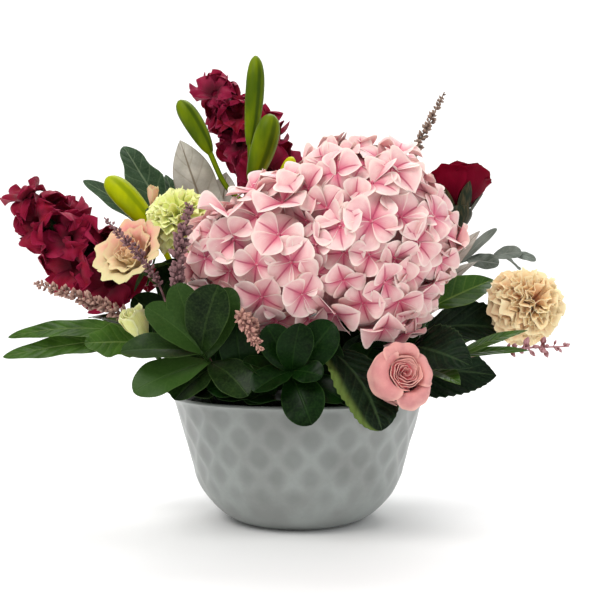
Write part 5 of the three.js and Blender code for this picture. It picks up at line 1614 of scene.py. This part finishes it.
def finishes():
    if _made:
        return _made
    colours = bpy.context.scene.centrepiece_colours
    _made.update(
        hydrangea_petal=petal_finish(
            "hydrangea_petal",
            tuple(colours.hydrangea),
            tuple(colours.hydrangea_heart),
            tint(246, 226, 216),
            glow=0.55,
            midrib=0.75,
            spread=0.55,
            rim=0.3,
            rim_strength=0.85,
            vary=0.2,
            crease=0.8,
        ),
        rose_petal=petal_finish(
            "rose_petal",
            tuple(colours.rose),
            tint(198, 72, 86),
            tint(238, 184, 170),
            glow=0.95,
            midrib=0.0,
            rim=0.24,
            rim_strength=0.65,
            vary=0.15,
            veins=0.25,
        ),
        dark_rose_petal=petal_finish(
            "dark_rose_petal",
            tint(96, 0, 24),
            tint(40, 0, 8),
            tint(118, 4, 34),
            midrib=0.1,
            rim_strength=0.4,
            shine=0.04,
            velvet=0.0,
        ),
        peach_petal=petal_finish(
            "peach_petal",
            tint(238, 194, 148),
            tint(222, 128, 96),
            tint(252, 238, 194),
            glow=1.0,
            midrib=0.1,
            rim_strength=0.6,
            vary=0.6,
            veins=0.15,
        ),
        lime_petal=petal_finish(
            "lime_petal",
            tint(232, 237, 132),
            tint(210, 220, 80),
            tint(250, 251, 200),
            glow=0.8,
            midrib=0.1,
            rim_strength=0.5,
            veins=0.12,
        ),
        blush_petal=petal_finish(
            "blush_petal",
            tint(232, 138, 138),
            tint(186, 150, 96),
            tint(214, 206, 150),
            glow=0.4,
            midrib=0.1,
            rim_strength=0.5,
            vary=0.9,
            veins=0.15,
        ),
        cream_petal=petal_finish(
            "cream_petal",
            tint(214, 214, 130),
            tint(160, 172, 70),
            tint(236, 236, 196),
            glow=0.6,
            midrib=0.2,
            rim_strength=0.5,
        ),
        snapdragon_petal=petal_finish(
            "snapdragon_petal",
            tuple(colours.snapdragon),
            tint(56, 0, 12),
            tint(142, 24, 66),
            glow=0.6,
            midrib=0.25,
            spread=0.4,
            rim=0.3,
            rim_strength=0.4,
            vary=0.6,
            shine=0.1,
            velvet=0.03,
            calyx=tint(58, 74, 40),
        ),
        glossy_leaf=leaf_finish(
            "glossy_leaf",
            tuple(colours.leaf),
            tint(11, 37, 7),
            tint(56, 88, 38),
            pairs=6,
            slant=1.0,
            quilt=0.1,
            rib_strength=0.15,
            shine=0.07,
            edge=0.3,
        ),
        # A lighter copy of the glossy leaf: painted light for the sprays low on the left, whose
        # leaves face up to the lamps, with each leaf's seed setting how much painted light it takes
        satin_leaf=leaf_finish(
            "satin_leaf",
            tint(5, 20, 4),
            tint(50, 78, 30),
            tint(84, 110, 56),
            pairs=6,
            slant=1.0,
            quilt=0.1,
            rib_strength=0.15,
            shine=0.08,
            vary=0.95,
            edge=0.25,
            patch=0.25,
        ),
        toothed_leaf=leaf_finish(
            "toothed_leaf",
            tint(3, 11, 5),
            tint(17, 36, 19),
            tint(68, 90, 56),
            pairs=8,
            slant=2.4,
            quilt=1.5,
            rough=0.45,
            rib_strength=0.4,
            shine=0.08,
            # painted light on the lamp-facing half of the first hydrangea leaf
            painted_lit_margin=tint(92, 112, 52),
        ),
        broad_leaf=leaf_finish(
            "broad_leaf", tint(28, 60, 14), tint(58, 98, 28), tint(120, 148, 66), rib_strength=0.7,
            shine=0.14,
        ),
        lobed_leaf=leaf_finish(
            "lobed_leaf", tint(24, 50, 5), tint(60, 94, 26), tint(104, 126, 66), pairs=9, shine=0.14
        ),
        blue_leaf=leaf_finish(
            "blue_leaf",
            tint(26, 48, 26),
            tint(62, 86, 60),
            tint(118, 136, 104),
            pairs=8,
            rough=0.5,
            shine=0.15,
        ),
        silver_leaf=leaf_finish(
            "silver_leaf",
            tint(150, 146, 136),
            tint(200, 196, 186),
            tint(112, 98, 78),
            pairs=6,
            quilt=0.6,
            rough=0.75,
            rib_strength=0.8,
        ),
        grey_leaf=leaf_finish(
            "grey_leaf",
            tint(62, 72, 62),
            tint(124, 132, 124),
            tint(146, 152, 144),
            pairs=5,
            rough=0.6,
            shine=0.15,
        ),
        green_stem=stem_finish("green_stem", tint(26, 46, 12), tint(64, 90, 30)),
        dark_stem=stem_finish("dark_stem", tint(16, 30, 10), tint(66, 58, 34)),
        spike_bud=stem_finish(
            "spike_bud", tint(74, 46, 50), tint(150, 112, 114), joints=0.8, rough=0.6
        ),
        dusty_bud=stem_finish(
            "dusty_bud", tint(104, 72, 66), tint(192, 154, 140), joints=0.8, rough=0.6
        ),
        brown_bud=stem_finish(
            "brown_bud", tint(92, 74, 66), tint(168, 146, 130), joints=0.7, rough=0.6
        ),
        mauve_bud=stem_finish(
            "mauve_bud", tint(120, 62, 60), tint(180, 134, 138), joints=0.8, rough=0.6
        ),
        golden_bud=stem_finish(
            "golden_bud", tint(128, 82, 82), tint(200, 154, 138), joints=0.7, rough=0.6
        ),
        lily_bud=lily_finish(
            "lily_bud", tint(64, 86, 0), tint(40, 62, 0), tint(106, 124, 0), tint(204, 204, 10)
        ),
        pale_lily_bud=lily_finish(
            "pale_lily_bud", tint(136, 152, 0), tint(114, 134, 0), tint(172, 180, 0)
        ),
        # The second colour is the painted shade of the hollows and the inside, and the glaze's fine
        # speckle
        glaze=glaze_finish("glaze", tuple(colours.glaze), tint(100, 104, 101), tint(148, 153, 150)),
        # Near-black: partly the dark green of wet foam, partly painted shade where the foam lies
        # under the leaves
        wet_foam=foam_finish("wet_foam", tint(3, 8, 4), tint(10, 20, 10)),
        pale_floor=floor_finish("pale_floor", tint(248, 248, 248)),
    )
    return _made


# Settings, operators and the panel


class CentrepieceSizes(bpy.types.PropertyGroup):
    """Sizes and counts that change the dressed pieces."""

    floret_count: IntProperty(
        name="Florets", description="Florets on the hydrangea head", default=156, min=40, max=160
    )
    floret_radius: FloatProperty(
        name="Floret radius",
        description="Reach of a hydrangea floret's petals",
        default=0.0188,
        min=0.01,
        max=0.03,
        unit="LENGTH",
    )
    relief_depth: FloatProperty(
        name="Relief depth",
        description="Depth of the diamonds pressed in the bowl's side",
        default=0.0011,
        min=0,
        max=0.004,
        unit="LENGTH",
    )


class CentrepieceColours(bpy.types.PropertyGroup):
    """Main colours of the blooms, the foliage and the bowl."""

    hydrangea: FloatVectorProperty(
        name="Hydrangea", description="Body of the florets' petals", subtype="COLOR", size=3,
        default=tint(234, 184, 186), min=0, max=1,
    )
    hydrangea_heart: FloatVectorProperty(
        name="Hydrangea heart", description="Middle and mid-veins of the florets", subtype="COLOR",
        size=3, default=tint(206, 78, 116), min=0, max=1,
    )
    rose: FloatVectorProperty(
        name="Rose", description="Petals of the rose", subtype="COLOR", size=3,
        default=tint(202, 134, 134), min=0, max=1,
    )
    snapdragon: FloatVectorProperty(
        name="Snapdragon", description="Petals of the snapdragons", subtype="COLOR", size=3,
        default=tint(126, 1, 24), min=0, max=1,
    )
    leaf: FloatVectorProperty(
        name="Glossy leaf", description="Dark side of the glossy leaves", subtype="COLOR", size=3,
        default=tint(3, 16, 2), min=0, max=1,
    )
    glaze: FloatVectorProperty(
        name="Glaze", description="Body of the bowl's glaze", subtype="COLOR", size=3,
        default=tint(130, 133, 130), min=0, max=1,
    )


class CENTREPIECE_OT_bowl(bpy.types.Operator):
    """Build the glazed bowl, and finish the foam that it holds"""

    bl_idname = "centrepiece.bowl"
    bl_label = "Bowl and foam"

    def execute(self, context):
        relief = context.scene.centrepiece_sizes.relief_depth / MM
        mesh_piece("bowl.glazed", "bowl", bowl_form(relief), finishes()["glaze"])
        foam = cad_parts["foam"]
        foam.data.materials.clear()
        foam.data.materials.append(finishes()["wet_foam"])
        return {"FINISHED"}


class CENTREPIECE_OT_hydrangea(bpy.types.Operator):
    """Build the hydrangea's head of florets, and its stem with toothed leaves"""

    bl_idname = "centrepiece.hydrangea"
    bl_label = "Hydrangea"

    def execute(self, context):
        sizes = context.scene.centrepiece_sizes
        head = hydrangea_head(sizes.floret_count, sizes.floret_radius / MM)
        mesh_piece("hydrangea_head.florets", "hydrangea_head", head, finishes()["hydrangea_petal"])
        leaves = finishes()["toothed_leaf"]
        mesh_piece("hydrangea_stem.leaves", "hydrangea_stem", hydrangea_stem_form(), leaves)
        return {"FINISHED"}


class CENTREPIECE_OT_roses(bpy.types.Operator):
    """Build the pink rose, the dark rose, the lisianthus and the cream bud"""

    bl_idname = "centrepiece.roses"
    bl_label = "Roses and lisianthus"

    def execute(self, context):
        bloom_heads(("pink_rose", "dark_rose", "blush_lisianthus", "cream_bud"))
        return {"FINISHED"}


class CENTREPIECE_OT_carnations(bpy.types.Operator):
    """Build the peach and the lime carnation"""

    bl_idname = "centrepiece.carnations"
    bl_label = "Carnations"

    def execute(self, context):
        bloom_heads(("peach_carnation", "lime_carnation"))
        return {"FINISHED"}


class CENTREPIECE_OT_snapdragons(bpy.types.Operator):
    """Build the two snapdragons, each a stem and its ruffled florets"""

    bl_idname = "centrepiece.snapdragons"
    bl_label = "Snapdragons"

    def execute(self, context):
        for name, bottom, top, foot, rise, radius, florets, seed in SNAPDRAGONS:
            petals = snapdragon_form(bottom, top, radius, florets, seed)
            node = name + "_flowers"
            mesh_piece(node + ".petals", node, petals, finishes()["snapdragon_petal"])
            stem = snapdragon_stem_form(bottom, top, foot, rise)
            mesh_piece(name + "_stem.round", name + "_stem", stem, finishes()["green_stem"])
        return {"FINISHED"}


class CENTREPIECE_OT_lilies(bpy.types.Operator):
    """Build the lily stems with their long green buds"""

    bl_idname = "centrepiece.lilies"
    bl_label = "Lily buds"

    def execute(self, context):
        for name, route, buds in LILIES:
            finish = finishes()["pale_lily_bud" if name == "lily_bud_left" else "lily_bud"]
            mesh_piece(name + ".seamed", name, lily_form(route, buds), finish)
        return {"FINISHED"}


class CENTREPIECE_OT_bloom_stems(bpy.types.Operator):
    """Build the stem and calyx under each single bloom"""

    bl_idname = "centrepiece.bloom_stems"
    bl_label = "Bloom stems"

    def execute(self, context):
        for bloom in BLOOMS:
            node = bloom["name"] + "_stem"
            finish = "dark_stem" if bloom["name"] == "dark_rose" else "green_stem"
            mesh_piece(node + ".sepals", node, bloom_stem_form(bloom), finishes()[finish])
        return {"FINISHED"}


class CENTREPIECE_OT_bud_spikes(bpy.types.Operator):
    """Build the thin spikes of small dusty buds"""

    bl_idname = "centrepiece.bud_spikes"
    bl_label = "Bud spikes"

    def execute(self, context):
        for seed, (name, finish, *shape) in enumerate(SPIKES):
            mesh_piece(name + ".buds", name, spike_form(*shape, 50 + seed), finishes()[finish])
        return {"FINISHED"}


class CENTREPIECE_OT_leafy_sprays(bpy.types.Operator):
    """Build every leafy spray, from the glossy rosettes to the eucalyptus sprig"""

    bl_idname = "centrepiece.leafy_sprays"
    bl_label = "Leafy sprays"

    def execute(self, context):
        for seed, (name, finish, route, radius, leaves) in enumerate(SPRAYS):
            form = spray_form(route, radius, leaves, 80 + seed)
            mesh_piece(name + ".leaves", name, form, finishes()[finish])
        return {"FINISHED"}


# Lights in metres: (name, place, size, power, colour, target)
OBJECT_MIDDLE = (0, 0, 0.18)
LIGHTS = [
    ("key", (-0.7, -1.0, 1.6), 1.1, 21, (1.0, 0.985, 0.96), OBJECT_MIDDLE),
    ("fill", (1.3, -0.9, 0.6), 1.6, 4, (0.95, 0.98, 1.0), OBJECT_MIDDLE),
    ("back", (0.4, 1.0, 1.5), 1.2, 10, (1.0, 1.0, 1.0), OBJECT_MIDDLE),
    ("backdrop", (0, 1.1, 2.6), 1.6, 34, (1.0, 1.0, 1.0), (0, 2.3, 0.7)),
]
ROOM_LIGHT = 0.62
CAMERA_PLACE = (0.0011, -0.75, 0.1706)
CAMERA_ANGLE = 2 * math.atan(237 / 750)
FLOOR_FRONT, FLOOR_BACK, FLOOR_HALF_WIDTH = -2.6, 1.4, 3
COVE_RADIUS = 0.9
COVE_STEPS = 12


class CENTREPIECE_OT_stage(bpy.types.Operator):
    """Lay the pale floor, hang the soft lights and set the camera"""

    bl_idname = "centrepiece.stage"
    bl_label = "Stage"

    def execute(self, context):
        lay_floor()
        for light in LIGHTS:
            soft_light(*light)
        light_world(ROOM_LIGHT)
        set_camera()
        context.scene.view_settings.view_transform = "Standard"
        return {"FINISHED"}


def lay_floor():
    """A pale floor that curves up into a backdrop behind the object."""
    profile = [(y, 0.0) for y in np.linspace(FLOOR_FRONT, FLOOR_BACK, 12)]
    for k in range(1, COVE_STEPS + 1):
        turn = (math.pi / 2) * k / COVE_STEPS
        out, up = COVE_RADIUS * math.sin(turn), COVE_RADIUS * (1 - math.cos(turn))
        profile.append((FLOOR_BACK + out, up))
    profile += [(FLOOR_BACK + COVE_RADIUS, z) for z in np.linspace(1.2, 3.2, 6)]
    columns = np.linspace(-FLOOR_HALF_WIDTH, FLOOR_HALF_WIDTH, 13)
    points = [(x, y, z) for y, z in profile for x in columns]
    width = len(columns)
    faces = []
    for j in range(len(profile) - 1):
        for i in range(width - 1):
            a = j * width + i
            faces.append((a, a + 1, a + width + 1, a + width))
    mesh = bpy.data.meshes.new("floor")
    mesh.from_pydata(points, [], faces)
    mesh.polygons.foreach_set("use_smooth", [True] * len(mesh.polygons))
    mesh.materials.append(finishes()["pale_floor"])
    floor = bpy.data.objects.new("floor", mesh)
    bpy.context.scene.collection.objects.link(floor)


def soft_light(name, place, size, power, colour, target):
    light = bpy.data.lights.new(name, "AREA")
    light.shape = "DISK"
    light.size = size
    light.energy = power
    light.color = colour
    lamp = bpy.data.objects.new(name, light)
    lamp.location = place
    aim = Vector(target) - Vector(place)
    lamp.rotation_euler = aim.to_track_quat("-Z", "Y").to_euler()
    bpy.context.scene.collection.objects.link(lamp)


def light_world(strength):
    world = bpy.data.worlds.new("soft_room")
    world.use_nodes = True
    background = world.node_tree.nodes["Background"]
    background.inputs["Color"].default_value = (1, 1, 1, 1)
    background.inputs["Strength"].default_value = strength
    bpy.context.scene.world = world


def set_camera():
    """A camera level with the blooms, straight in front."""
    camera = bpy.data.cameras.new("camera")
    camera.sensor_width = 36
    camera.angle = CAMERA_ANGLE
    camera.clip_start, camera.clip_end = 0.01, 20
    holder = bpy.data.objects.new("camera", camera)
    holder.location = CAMERA_PLACE
    holder.rotation_euler = (math.pi / 2, 0, 0)
    bpy.context.scene.collection.objects.link(holder)
    bpy.context.scene.camera = holder


STEPS = (
    CENTREPIECE_OT_bowl,
    CENTREPIECE_OT_hydrangea,
    CENTREPIECE_OT_roses,
    CENTREPIECE_OT_carnations,
    CENTREPIECE_OT_snapdragons,
    CENTREPIECE_OT_lilies,
    CENTREPIECE_OT_bloom_stems,
    CENTREPIECE_OT_bud_spikes,
    CENTREPIECE_OT_leafy_sprays,
    CENTREPIECE_OT_stage,
)


class CENTREPIECE_PT_panel(bpy.types.Panel):
    """Buttons for each group of pieces, with the sizes and colours they use"""

    bl_idname = "CENTREPIECE_PT_panel"
    bl_label = "Floral centrepiece"
    bl_space_type = "VIEW_3D"
    bl_region_type = "UI"
    bl_category = "Centrepiece"

    def draw(self, context):
        column = self.layout.column(align=True)
        for settings in (context.scene.centrepiece_sizes, context.scene.centrepiece_colours):
            for name in settings.__annotations__:
                column.prop(settings, name)
        for step in STEPS:
            column.operator(step.bl_idname)


CLASSES = (CentrepieceSizes, CentrepieceColours, *STEPS, CENTREPIECE_PT_panel)


def register():
    for cls in CLASSES:
        bpy.utils.register_class(cls)
    bpy.types.Scene.centrepiece_sizes = PointerProperty(type=CentrepieceSizes)
    bpy.types.Scene.centrepiece_colours = PointerProperty(type=CentrepieceColours)


def unregister():
    del bpy.types.Scene.centrepiece_colours
    del bpy.types.Scene.centrepiece_sizes
    for cls in reversed(CLASSES):
        bpy.utils.unregister_class(cls)


def main():
    register()
    for step in STEPS:
        group, name = step.bl_idname.split(".")
        getattr(getattr(bpy.ops, group), name)()


if __name__ == "__main__":
    main()
